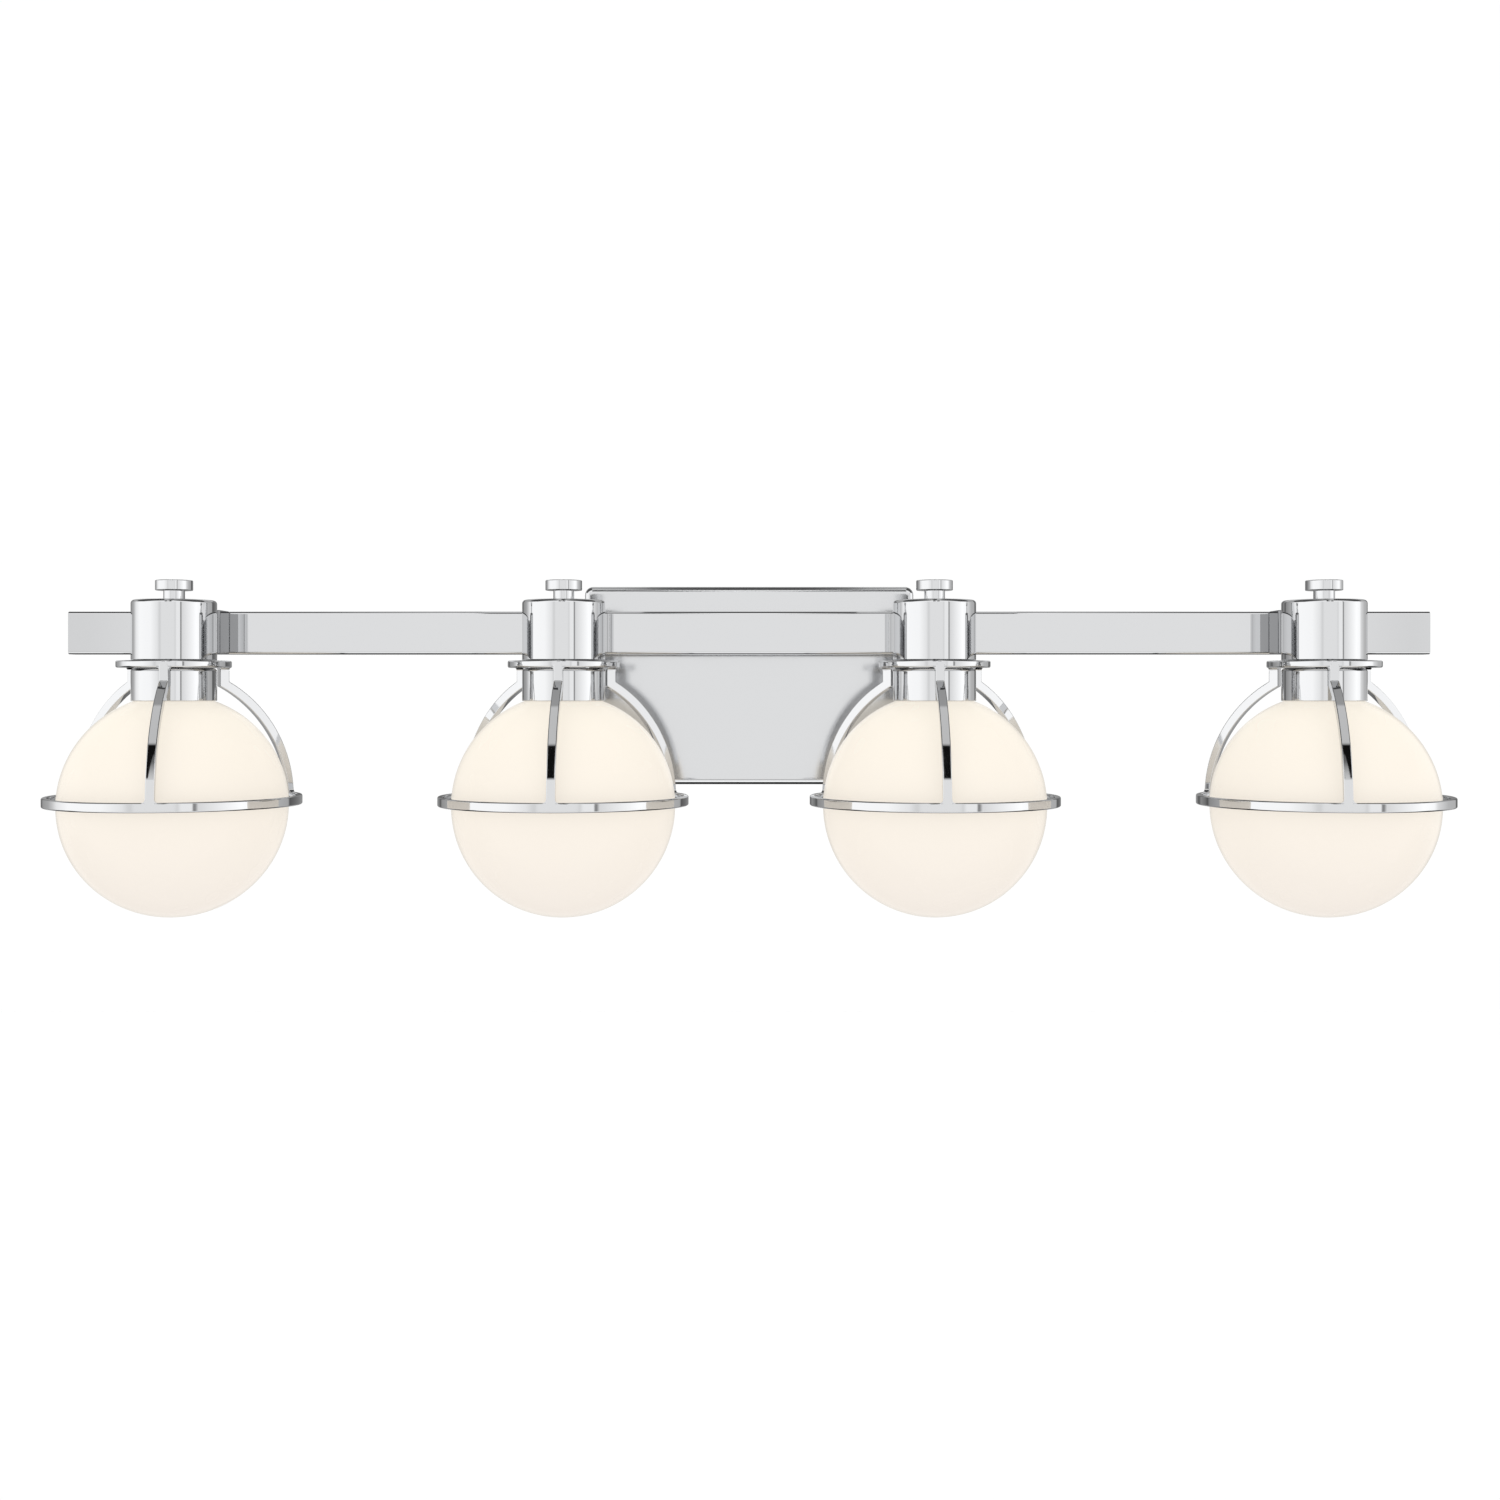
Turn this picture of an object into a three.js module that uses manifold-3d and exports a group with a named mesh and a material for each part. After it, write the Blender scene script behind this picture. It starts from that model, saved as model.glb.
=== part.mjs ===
// Vanity light bar: four opal glass globes in wire cages, hung from one rectangular bar.
// Millimetres. +Z is up, +X runs along the bar, and the wall is the plane Y = 0 with the room at -Y.
// The origin is the middle of the wall bracket's back face, which lies on the wall.

import * as THREE from 'three';
import { mergeVertices } from 'three/addons/utils/BufferGeometryUtils.js';
import Module from 'manifold-3d';

const wasm = await Module();
wasm.setup();

// ---------------------------------------------------------------- driving dimensions

// Air between neighbouring pieces, and how far a cutter reaches past the wall that it pierces.
const GAP = 0.3;
const PIERCE = 5;

const PLATE = { width: 203, height: 122, depth: 22, wall: 1.4, corner: 5, edge: 2.5 };

const BRACKET = { width: 196, height: 26, thick: 1.8, earReach: 16, earHeight: 16 };
const SLOT = { inner: 32, outer: 47.5, height: 5 };

const BAR = {
  length: 808.7, depth: 14, height: 25.4, wall: 1.5, centreZ: 31.2, frontY: -65,
  corner: 1.2, innerCorner: 0.3,
};

const POST = { x: 60, radius: 8, neck: 6, bore: 4.4, neckEndY: -14.5 };
const POST_NUT = { acrossCorners: 20, thick: 4.8 };

const LAMP_XS = [-331, -106.7, 106.7, 331];
const CAGE_TURNS = [7, 0, 0, -7];
const LAMP_Y = -98;

const CUP = { radius: 23.8, wall: 1.5, top: 48.9, bottom: 14.4, roof: 2, edge: 2 };
const FITTER = { top: 9.8, bottom: -9, roof: 1.5, edge: 1.5 };
const ARM = { halfWidth: 22.6, frontY: 13 };
const ROD = { radius: 3, bottom: 2.5, top: 56.4 };
const ROD_HOLE = 3.4;
const FINIAL = { stem: 6, disc: 10.5, shoulder: 54.5, top: 60.4, boreTop: 57.4, chamfer: 0.6 };

const CAGE = {
  discRadius: 32, discTop: 14.1, discBottom: 10.1,
  ringOuter: 71.8, ringInner: 68.5, ringTop: -63.4, ringBottom: -69,
  ribWidth: 5, tabInner: 26.4, ribArc: 78.3,
  outerArcX: -6.5, outerArcZ: -66, innerArcX: -9.7, innerArcZ: -70,
  buried: 1.5, discStep: 0.2, ringStep: 0.5, tabRise: 0.5,
};

const GLOBE = { radius: 64.1, wall: 2.5, centreZ: -69.1, neckOuter: 19.6, neckInner: 17.1, neckTop: 2 };
const THREAD = { crest: 21.2, bead: 1.6, middle: -0.6 };
const GASKET = { inner: 19.9, outer: 22, bottom: -7.6, top: -4.8 };

const SOCKET = { body: 10.5, bottom: -20, cap: 14.5, capBottom: 1.5, capTop: 5.5, boss: 7, top: 8 };
const SOCKET_BORE = { radius: 6.4, top: -2 };
const BULB = {
  base: 5.8, contact: -2.8, contactRadius: 2.6, contactCone: 2.5, baseEnd: -20.8,
  glass: 9.5, shoulder: -25, tip: -95,
};

const LEAD = { radius: 1.4, behindRod: 12, holeRadius: 2.6, wallHole: 3, barY: -58, panY: -9.5, bend: 4.5 };
const OUTER_LEAD_Z = 33.2;
const INNER_LEAD_Z = 29.2;
const TERMINAL = {
  width: 44, frontY: -20.3, backY: -6.3, top: -18, bottom: -32, pitch: 8, entry: 1.9,
  houseEntryPitch: 12.8, houseEntryDepth: 6, leadDepth: 3, leadRun: 12,
};

const SIDE_SCREW = { head: 4.2, headThick: 2.2, shank: 2, y: -9, tipX: 92, holeFrom: 90, holeTo: 110 };
const GROUND_SCREW = { x: 70, z: 5, head: 4, headThick: 2, rim: 1.2, face: 2.8, shank: 1.8, tip: 0.2 };
const GROUND_LEAD = { radius: 1.2, y: -3.6, dropZ: -8, bend: 5 };

const ROUND = { globe: 24, cage: 32, cup: 20, knob: 16, small: 12, wire: 3 };

// ---------------------------------------------------------------- materials

function finish(colour, roughness, metalness) {
  return new THREE.MeshStandardMaterial({ color: colour, roughness, metalness });
}

const chrome = finish(0xdfe1e4, 0.06, 1);
const zincSteel = finish(0xb4b8ba, 0.4, 1);
const brass = finish(0xc9a24a, 0.3, 1);
const opalGlass = finish(0xfbf3e6, 0.12, 0);
const frostedGlass = finish(0xf4f1ea, 0.35, 0);
const porcelain = finish(0xefece4, 0.3, 0);
const siliconeRubber = finish(0xd8d5cf, 0.7, 0);
const leadSleeve = finish(0x2b2b2d, 0.55, 0);
const groundSleeve = finish(0x2f7a3d, 0.55, 0);
const greenScrew = finish(0x3f8f4d, 0.4, 0.6);
const terminalPlastic = finish(0xe9e7e0, 0.5, 0);

// ---------------------------------------------------------------- solid helpers

// Shared corners are merged and collapsed triangles dropped, so that the surface is one closed skin.
function welded(geometry) {
  const bare = geometry.clone();
  bare.deleteAttribute('normal');
  bare.deleteAttribute('uv');
  const merged = mergeVertices(bare, 1e-4);
  const index = merged.index.array;
  const kept = [];
  for (let i = 0; i < index.length; i += 3) {
    const [a, b, c] = [index[i], index[i + 1], index[i + 2]];
    if (a !== b && b !== c && c !== a) kept.push(a, b, c);
  }
  merged.setIndex(kept);
  return merged;
}

// Faces are turned outwards when the skin encloses a negative volume.
function facingOut(geometry) {
  const position = geometry.attributes.position;
  const index = Array.from(geometry.index.array);
  const corner = [new THREE.Vector3(), new THREE.Vector3(), new THREE.Vector3()];
  let volume = 0;
  for (let i = 0; i < index.length; i += 3) {
    corner.forEach((point, k) => point.fromBufferAttribute(position, index[i + k]));
    volume += corner[0].dot(corner[1].clone().cross(corner[2]));
  }
  if (volume < 0) index.reverse();
  geometry.setIndex(index);
  return geometry;
}

function closed(geometry) {
  return facingOut(welded(geometry));
}

function toSolid(geometry) {
  const skin = closed(geometry);
  return new wasm.Manifold(new wasm.Mesh({
    numProp: 3,
    vertProperties: new Float32Array(skin.attributes.position.array),
    triVerts: new Uint32Array(skin.index.array),
  }));
}

function toGeometry(solid) {
  const mesh = solid.getMesh();
  const geometry = new THREE.BufferGeometry();
  const position = new THREE.BufferAttribute(new Float32Array(mesh.vertProperties), 3);
  geometry.setAttribute('position', position);
  geometry.setIndex(Array.from(mesh.triVerts));
  return geometry;
}

// One solid from the added geometries less the cut ones.
function carve(added, cuts = []) {
  let solid = toSolid(added[0]);
  for (const geometry of added.slice(1)) solid = solid.add(toSolid(geometry));
  for (const geometry of cuts) solid = solid.subtract(toSolid(geometry));
  return toGeometry(solid);
}

// A body turned about the Z axis from [radius, z] points.
function turned(profile, segments) {
  const points = profile.map(([radius, z]) => new THREE.Vector2(radius, z));
  const geometry = new THREE.LatheGeometry(points, segments);
  geometry.rotateX(Math.PI / 2);
  return closed(geometry);
}

// A ring of rectangular section about the Z axis.
function band(inner, outer, bottom, top, segments) {
  return turned([[inner, bottom], [outer, bottom], [outer, top], [inner, top], [inner, bottom]], segments);
}

// A cylinder along one axis between two coordinates.
function rod(radius, axis, from, to, centre, segments = ROUND.small) {
  const geometry = new THREE.CylinderGeometry(radius, radius, Math.abs(to - from), segments);
  if (axis === 'x') geometry.rotateZ(Math.PI / 2);
  if (axis === 'z') geometry.rotateX(Math.PI / 2);
  const place = { ...centre, [axis]: (from + to) / 2 };
  geometry.translate(place.x, place.y, place.z);
  return geometry;
}

// Two coordinates, the lower one first.
function ordered(a, b) {
  return [Math.min(a, b), Math.max(a, b)];
}

function block([x0, x1], [y0, y1], [z0, z1]) {
  const geometry = new THREE.BoxGeometry(x1 - x0, y1 - y0, z1 - z0);
  geometry.translate((x0 + x1) / 2, (y0 + y1) / 2, (z0 + z1) / 2);
  return geometry;
}

// Points of an arc in a profile, ends included, angles in radians from the radial direction.
function arc(centreR, centreZ, radius, from, to, steps) {
  return Array.from({ length: steps + 1 }, (_, i) => {
    const angle = from + ((to - from) * i) / steps;
    return [centreR + radius * Math.cos(angle), centreZ + radius * Math.sin(angle)];
  });
}

function roundedRectangle(width, height, radius) {
  const [x, y] = [width / 2, height / 2];
  const shape = new THREE.Shape();
  shape.moveTo(-x + radius, -y);
  shape.lineTo(x - radius, -y);
  shape.absarc(x - radius, -y + radius, radius, -Math.PI / 2, 0, false);
  shape.lineTo(x, y - radius);
  shape.absarc(x - radius, y - radius, radius, 0, Math.PI / 2, false);
  shape.lineTo(-x + radius, y);
  shape.absarc(-x + radius, y - radius, radius, Math.PI / 2, Math.PI, false);
  shape.lineTo(-x, -y + radius);
  shape.absarc(-x + radius, -y + radius, radius, Math.PI, Math.PI * 1.5, false);
  return shape;
}

// An outline drawn in X and Z, made solid from backY towards the room by the depth given.
function extrudedTowardsRoom(shape, backY, depth, curveSegments = 2) {
  const geometry = new THREE.ExtrudeGeometry(shape, { depth, bevelEnabled: false, curveSegments });
  geometry.rotateX(Math.PI / 2);
  geometry.translate(0, backY, 0);
  return geometry;
}

// A wire's route: straight runs between corners, with each corner rounded by a smooth bend.
// Its parameter gives every run and every bend the same share, so that bends get enough steps.
class WireRoute extends THREE.Curve {
  constructor(corners, bend) {
    super();
    this.pieces = [];
    let start = corners[0];
    for (let i = 1; i < corners.length - 1; i += 1) {
      const before = corners[i].clone().sub(corners[i - 1]).setLength(bend);
      const after = corners[i + 1].clone().sub(corners[i]).setLength(bend);
      const bendStart = corners[i].clone().sub(before);
      const bendEnd = corners[i].clone().add(after);
      this.pieces.push(new THREE.LineCurve3(start, bendStart));
      this.pieces.push(new THREE.QuadraticBezierCurve3(bendStart, corners[i], bendEnd));
      start = bendEnd;
    }
    this.pieces.push(new THREE.LineCurve3(start, corners[corners.length - 1]));
  }

  getPoint(t, target = new THREE.Vector3()) {
    const place = Math.min(t * this.pieces.length, this.pieces.length - 1e-9);
    const piece = Math.floor(place);
    return this.pieces[piece].getPoint(place - piece, target);
  }

  getPointAt(u, target) {
    return this.getPoint(u, target);
  }

  getTangentAt(u, target) {
    return this.getTangent(u, target);
  }
}

function wire(route, radius) {
  const section = new THREE.Shape();
  section.absarc(0, 0, radius, 0, Math.PI * 2, false);
  const geometry = new THREE.ExtrudeGeometry(section, {
    steps: route.pieces.length * 2, curveSegments: ROUND.wire, extrudePath: route,
  });
  return closed(geometry);
}

// ---------------------------------------------------------------- wall side

// Strap that screws to the wall box; its turned-out ears take the two side screws.
function wallBracket() {
  const half = BRACKET.width / 2;
  const halfHeight = BRACKET.height / 2;
  const earHalf = BRACKET.earHeight / 2;
  const strap = block([-half, half], [-BRACKET.thick, 0], [-halfHeight, halfHeight]);
  const ears = [-1, 1].map((side) => {
    const across = ordered(side * half, side * (half - BRACKET.thick));
    return block(across, [-BRACKET.earReach, -BRACKET.thick / 2], [-earHalf, earHalf]);
  });
  const cuts = [];
  for (const side of [-1, 1]) {
    const slot = ordered(side * SLOT.inner, side * SLOT.outer);
    cuts.push(block(slot, [-PIERCE, PIERCE], [-SLOT.height / 2, SLOT.height / 2]));
    const [from, to] = [side * SIDE_SCREW.holeFrom, side * SIDE_SCREW.holeTo];
    cuts.push(rod(SIDE_SCREW.shank + GAP, 'x', from, to, { y: SIDE_SCREW.y, z: 0 }));
  }
  const groundScrew = { x: GROUND_SCREW.x, z: GROUND_SCREW.z };
  cuts.push(rod(GROUND_SCREW.shank + GAP, 'y', -PIERCE, PIERCE, groundScrew));
  return carve([strap, ...ears], cuts);
}

// Shallow pan, open to the wall, with rounded front edges and its wiring space inside.
function backplate() {
  const { width, height, depth, wall, corner, edge } = PLATE;
  const outline = roundedRectangle(width - 2 * edge, height - 2 * edge, corner - edge);
  const outer = new THREE.ExtrudeGeometry(outline, {
    depth: 2 * depth, bevelThickness: edge, bevelSize: edge, bevelSegments: 2, curveSegments: 2,
  });
  outer.rotateX(Math.PI / 2);
  outer.translate(0, 2 * depth + edge - depth, 0);
  const inside = roundedRectangle(width - 2 * wall, height - 2 * wall, corner - wall);
  const cuts = [
    block([-width, width], [0, 3 * depth], [-height, height]),
    extrudedTowardsRoom(inside, 1, 1 + depth - wall),
  ];
  for (const side of [-1, 1]) {
    const sideX = side * (width / 2);
    const post = { x: side * POST.x, z: BAR.centreZ };
    const screw = { y: SIDE_SCREW.y, z: 0 };
    cuts.push(rod(POST.neck + GAP, 'y', -depth - PIERCE, -depth + PIERCE, post));
    cuts.push(rod(SIDE_SCREW.shank + GAP, 'x', sideX - PIERCE, sideX + PIERCE, screw));
  }
  return carve([outer], cuts);
}

function sideScrew(side) {
  const face = PLATE.width / 2 + GAP;
  const { head, headThick, shank, tipX, y } = SIDE_SCREW;
  const domed = arc(0, face, headThick, 0, Math.PI / 2, 3).map(([r, x]) => [r * (head / headThick), x]);
  const geometry = turned([[0, tipX], [shank, tipX], [shank, face], ...domed], ROUND.small);
  geometry.rotateY((side * Math.PI) / 2);
  geometry.translate(0, y, 0);
  return geometry;
}

function groundScrew() {
  const { head, headThick, rim, face, shank, tip, x, z } = GROUND_SCREW;
  const headBack = BRACKET.thick + GAP;
  const profile = [
    [0, tip], [shank, tip], [shank, headBack], [head, headBack],
    [head, headBack + rim], [face, headBack + headThick], [0, headBack + headThick],
  ];
  const geometry = turned(profile, ROUND.small);
  geometry.rotateX(Math.PI / 2);
  geometry.translate(x, 0, z);
  return geometry;
}

// Block with one entry for each lead on top and three square entries for the house wires below.
function terminalBlock() {
  const { width, frontY, backY, top, bottom, pitch, entry, houseEntryPitch, houseEntryDepth } = TERMINAL;
  const body = block([-width / 2, width / 2], [frontY, backY], [bottom, top]);
  const cuts = [-2, -1, 0, 1, 2].map((k) => (
    rod(entry, 'z', top - PIERCE, top + PIERCE, { x: k * pitch, y: LEAD.panY })
  ));
  const entryDepth = [LEAD.panY - entry, LEAD.panY + entry];
  for (const k of [-1, 0, 1]) {
    const sides = [k * houseEntryPitch - entry, k * houseEntryPitch + entry];
    cuts.push(block(sides, entryDepth, [bottom - PIERCE, bottom + houseEntryDepth]));
  }
  return carve([body], cuts);
}

function groundLead() {
  const start = GROUND_SCREW.x - GROUND_SCREW.head - GAP;
  const corners = [
    new THREE.Vector3(start, GROUND_LEAD.y, GROUND_SCREW.z),
    new THREE.Vector3(0, GROUND_LEAD.y, GROUND_SCREW.z),
    new THREE.Vector3(0, LEAD.panY, GROUND_LEAD.dropZ),
    new THREE.Vector3(0, LEAD.panY, TERMINAL.top - TERMINAL.leadDepth),
  ];
  return wire(new WireRoute(corners, GROUND_LEAD.bend), GROUND_LEAD.radius);
}

// ---------------------------------------------------------------- bar and posts

function barTube() {
  const { length, depth, height, wall, centreZ, frontY, corner, innerCorner } = BAR;
  const outline = roundedRectangle(height, depth, corner);
  outline.holes.push(roundedRectangle(height - 2 * wall, depth - 2 * wall, innerCorner));
  const sweep = { depth: length, bevelEnabled: false, curveSegments: 2 };
  const tube = new THREE.ExtrudeGeometry(outline, sweep);
  tube.translate(0, 0, -length / 2);
  tube.rotateY(Math.PI / 2);
  tube.translate(0, frontY + depth / 2, centreZ);
  const cuts = LAMP_XS.map((x) => (
    rod(LEAD.wallHole, 'y', frontY - PIERCE, frontY + PIERCE, { x, z: leadHeight(x) })
  ));
  for (const side of [-1, 1]) {
    const backY = frontY + depth;
    cuts.push(rod(POST.bore, 'y', backY - PIERCE, backY + PIERCE, { x: side * POST.x, z: centreZ }));
  }
  return carve([tube], cuts);
}

function barEndCap(side) {
  const { length, depth, height, wall, centreZ, frontY } = BAR;
  const ends = ordered(side * (length / 2), side * (length / 2 - wall));
  const inset = wall + GAP;
  const halfHeight = height / 2 - inset;
  const heights = [centreZ - halfHeight, centreZ + halfHeight];
  return block(ends, [frontY + inset, frontY + depth - inset], heights);
}

// Round standoff between the bar's back and the pan's front, with a neck through the pan.
function barPost() {
  const barBack = BAR.frontY + BAR.depth + GAP;
  const plateFront = -PLATE.depth - GAP;
  const profile = [
    [POST.bore, -barBack], [POST.radius, -barBack], [POST.radius, -plateFront],
    [POST.neck, -plateFront], [POST.neck, -POST.neckEndY], [POST.bore, -POST.neckEndY],
    [POST.bore, -barBack],
  ];
  const geometry = turned(profile, ROUND.small);
  geometry.rotateX(Math.PI / 2);
  return geometry;
}

function postNut() {
  const hexagon = new THREE.Shape();
  const radius = POST_NUT.acrossCorners / 2;
  for (let k = 0; k < 6; k += 1) {
    const angle = (k * Math.PI) / 3;
    const corner = [radius * Math.cos(angle), radius * Math.sin(angle)];
    if (k === 0) hexagon.moveTo(...corner);
    else hexagon.lineTo(...corner);
  }
  const hole = new THREE.Path();
  hole.absarc(0, 0, POST.neck + GAP, 0, Math.PI * 2, true);
  hexagon.holes.push(hole);
  const frontY = -PLATE.depth + PLATE.wall + GAP;
  return closed(extrudedTowardsRoom(hexagon, frontY + POST_NUT.thick, POST_NUT.thick, ROUND.small / 2));
}

// ---------------------------------------------------------------- one lamp, about its own Z axis

function leadHeight(lampX) {
  return Math.abs(lampX) > LAMP_XS[3] / 2 ? OUTER_LEAD_Z : INNER_LEAD_Z;
}

// Saddle block that joins the bar's front face to the round socket cup.
function arm(lampX) {
  const reach = CUP.radius + GAP;
  const back = BAR.frontY - GAP - LAMP_Y;
  const start = Math.asin(ARM.frontY / reach);
  const outline = new THREE.Shape();
  outline.moveTo(ARM.halfWidth, ARM.frontY);
  outline.lineTo(ARM.halfWidth, back);
  outline.lineTo(-ARM.halfWidth, back);
  outline.lineTo(-ARM.halfWidth, ARM.frontY);
  outline.absarc(0, 0, reach, Math.PI - start, start, true);
  const sweep = { depth: BAR.height, bevelEnabled: false, curveSegments: 8 };
  const saddle = new THREE.ExtrudeGeometry(outline, sweep);
  saddle.translate(0, 0, BAR.centreZ - BAR.height / 2);
  return carve([saddle], [rod(LEAD.wallHole, 'y', 0, back + PIERCE, { x: 0, z: leadHeight(lampX) })]);
}

// Deep cup, open below, with holes for the centre rod and for the lead.
function socketCup(lampX) {
  const { radius, wall, top, bottom, roof, edge } = CUP;
  const body = turned([
    [0, top - roof], [radius - wall, top - roof], [radius - wall, bottom], [radius, bottom],
    ...arc(radius - edge, top - edge, edge, 0, Math.PI / 2, 2), [0, top],
  ], ROUND.cup);
  return carve([body], [
    rod(ROD_HOLE, 'z', top - PIERCE, top + PIERCE, { x: 0, y: 0 }),
    rod(LEAD.wallHole, 'y', radius - 2 * PIERCE, radius + PIERCE, { x: 0, z: leadHeight(lampX) }),
  ]);
}

// Shallow cup, open below, that the globe's neck screws into.
function fitterCup() {
  const { radius, wall } = CUP;
  const { top, bottom, roof, edge } = FITTER;
  const body = turned([
    [0, top - roof], [radius - wall, top - roof], [radius - wall, bottom], [radius, bottom],
    ...arc(radius - edge, top - edge, edge, 0, Math.PI / 2, 2), [0, top],
  ], ROUND.cup);
  return carve([body], [
    rod(ROD_HOLE, 'z', top - PIERCE, top + PIERCE, { x: 0, y: 0 }),
    rod(LEAD.holeRadius, 'z', top - PIERCE, top + PIERCE, { x: 0, y: LEAD.behindRod }),
  ]);
}

function centreRod() {
  return closed(rod(ROD.radius, 'z', ROD.bottom, ROD.top, { x: 0, y: 0 }));
}

function finial() {
  const bottom = CUP.top + GAP;
  const { stem, disc, shoulder, top, boreTop, chamfer } = FINIAL;
  return turned([
    [0, boreTop], [ROD_HOLE, boreTop], [ROD_HOLE, bottom], [stem, bottom], [stem, shoulder],
    [disc, shoulder], [disc, top - chamfer], [disc - chamfer, top], [0, top],
  ], ROUND.knob);
}

// A rib's outline in radius and height: a short tab under the disc, then a tapering arc to the ring.
function ribOutline() {
  const { discRadius, discBottom, ringOuter, ringInner, ringTop, tabInner, ribArc } = CAGE;
  const { outerArcX, outerArcZ, innerArcX, innerArcZ, buried, discStep, ringStep, tabRise } = CAGE;
  const outerStart = Math.acos((discRadius - outerArcX) / ribArc);
  const innerStart = Math.acos((tabInner - innerArcX) / ribArc);
  const outerEnd = Math.asin((ringTop - outerArcZ) / ribArc);
  const innerEnd = Math.asin((ringTop - innerArcZ) / ribArc);
  const outline = new THREE.Shape();
  outline.moveTo(discRadius - discStep, discBottom + buried);
  outline.lineTo(discRadius, discBottom - tabRise);
  outline.absarc(outerArcX, outerArcZ, ribArc, outerStart, outerEnd, true);
  outline.lineTo(ringOuter - ringStep, ringTop - buried);
  outline.lineTo(ringInner + GAP, ringTop - buried);
  outline.absarc(innerArcX, innerArcZ, ribArc, innerEnd, innerStart, false);
  outline.lineTo(tabInner, discBottom + buried);
  return outline;
}

// Top disc, three tapering ribs a third of a turn apart, and the flat band that they carry.
function cage(turnDegrees) {
  const { discRadius, discTop, discBottom, ringOuter, ringInner, ringTop, ringBottom, ribWidth } = CAGE;
  const discProfile = [[0, discBottom], [discRadius, discBottom], [discRadius, discTop], [0, discTop]];
  const disc = turned(discProfile, ROUND.cage);
  const parts = [disc, band(ringInner, ringOuter, ringBottom, ringTop, ROUND.cage)];
  for (let k = 0; k < 3; k += 1) {
    const rib = new THREE.ExtrudeGeometry(ribOutline(), {
      depth: ribWidth, bevelEnabled: false, curveSegments: 7,
    });
    rib.translate(0, 0, -ribWidth / 2);
    rib.rotateX(Math.PI / 2);
    rib.rotateZ(THREE.MathUtils.degToRad(turnDegrees - 90 + 120 * k));
    parts.push(rib);
  }
  return carve(parts, [
    rod(ROD_HOLE, 'z', discBottom - PIERCE, discTop + PIERCE, { x: 0, y: 0 }),
    rod(LEAD.holeRadius, 'z', discBottom - PIERCE, discTop + PIERCE, { x: 0, y: LEAD.behindRod }),
  ]);
}

function socket() {
  const { body, bottom, cap, capBottom, capTop, boss, top } = SOCKET;
  return carve([turned([
    [0, SOCKET_BORE.top], [SOCKET_BORE.radius, SOCKET_BORE.top], [SOCKET_BORE.radius, bottom],
    [body, bottom], [body, capBottom], [cap, capBottom], [cap, capTop], [boss, capTop],
    [boss, top], [0, top],
  ], ROUND.knob)], [rod(ROD_HOLE, 'z', ROD.bottom - 0.5, top + PIERCE, { x: 0, y: 0 })]);
}

// Tubular lamp, narrow enough to pass the globe's neck, base up.
function bulb() {
  const { base, contact, contactRadius, contactCone, baseEnd, glass, shoulder, tip } = BULB;
  const dome = arc(0, tip + glass, glass, 0, -Math.PI / 2, 3);
  return turned([
    [0, contact], [contactRadius, contact], [base, contact - contactCone], [base, baseEnd],
    [glass, shoulder], ...dome.slice(0, -1), [0, tip],
  ], ROUND.small);
}

// Hollow opal ball with an open threaded neck.
function globe() {
  const { radius, wall, centreZ, neckOuter, neckInner, neckTop } = GLOBE;
  const outerStart = Math.acos(neckOuter / radius);
  const innerStart = Math.acos(neckInner / (radius - wall));
  const outer = arc(0, centreZ, radius, outerStart, -Math.PI / 2, 9);
  const inner = arc(0, centreZ, radius - wall, -Math.PI / 2, innerStart, 6);
  const bead = [1, 0, -1].map((k) => [k ? neckOuter : THREAD.crest, THREAD.middle + (k * THREAD.bead) / 2]);
  return turned([
    [neckInner, neckTop], [neckOuter, neckTop], ...bead, ...outer.slice(0, -1), [0, centreZ - radius],
    [0, centreZ - radius + wall], ...inner.slice(1), [neckInner, neckTop],
  ], ROUND.globe);
}

function gasket() {
  return band(GASKET.inner, GASKET.outer, GASKET.bottom, GASKET.top, ROUND.cup);
}

// Twin lead from a socket's cap, through the cup, arm, bar and post, to its terminal entry.
function lead(lampX) {
  const side = Math.sign(lampX);
  const isOuter = leadHeight(lampX) === OUTER_LEAD_Z;
  const z = leadHeight(lampX);
  const entryX = side * TERMINAL.pitch * (isOuter ? 1 : 2);
  const corners = [
    new THREE.Vector3(lampX, LAMP_Y + LEAD.behindRod, SOCKET.capTop + GAP),
    new THREE.Vector3(lampX, LAMP_Y + LEAD.behindRod, z),
    new THREE.Vector3(lampX, LEAD.barY, z),
    new THREE.Vector3(side * POST.x, LEAD.barY, z),
    new THREE.Vector3(side * POST.x, LEAD.panY, z),
    new THREE.Vector3(entryX, LEAD.panY, TERMINAL.top + TERMINAL.leadRun),
    new THREE.Vector3(entryX, LEAD.panY, TERMINAL.top - TERMINAL.leadDepth),
  ];
  return wire(new WireRoute(corners, LEAD.bend), LEAD.radius);
}

// ---------------------------------------------------------------- assembly

const group = new THREE.Group();

function place(name, geometry, material, parent = group) {
  const mesh = new THREE.Mesh(geometry, material);
  mesh.name = name;
  parent.add(mesh);
  return mesh;
}

place('wall_bracket', wallBracket(), zincSteel);
place('backplate', backplate(), chrome);
place('ground_screw', groundScrew(), greenScrew);
place('ground_lead', groundLead(), groundSleeve);
place('terminal_block', terminalBlock(), terminalPlastic);
place('bar', barTube(), chrome);

for (const [name, side] of [['left', -1], ['right', 1]]) {
  place(`side_screw_${name}`, sideScrew(side), chrome);
  place(`bar_end_cap_${name}`, barEndCap(side), chrome);
  place(`bar_post_${name}`, barPost(), chrome).position.set(side * POST.x, 0, BAR.centreZ);
  place(`post_nut_${name}`, postNut(), brass).position.set(side * POST.x, 0, BAR.centreZ);
}

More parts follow.
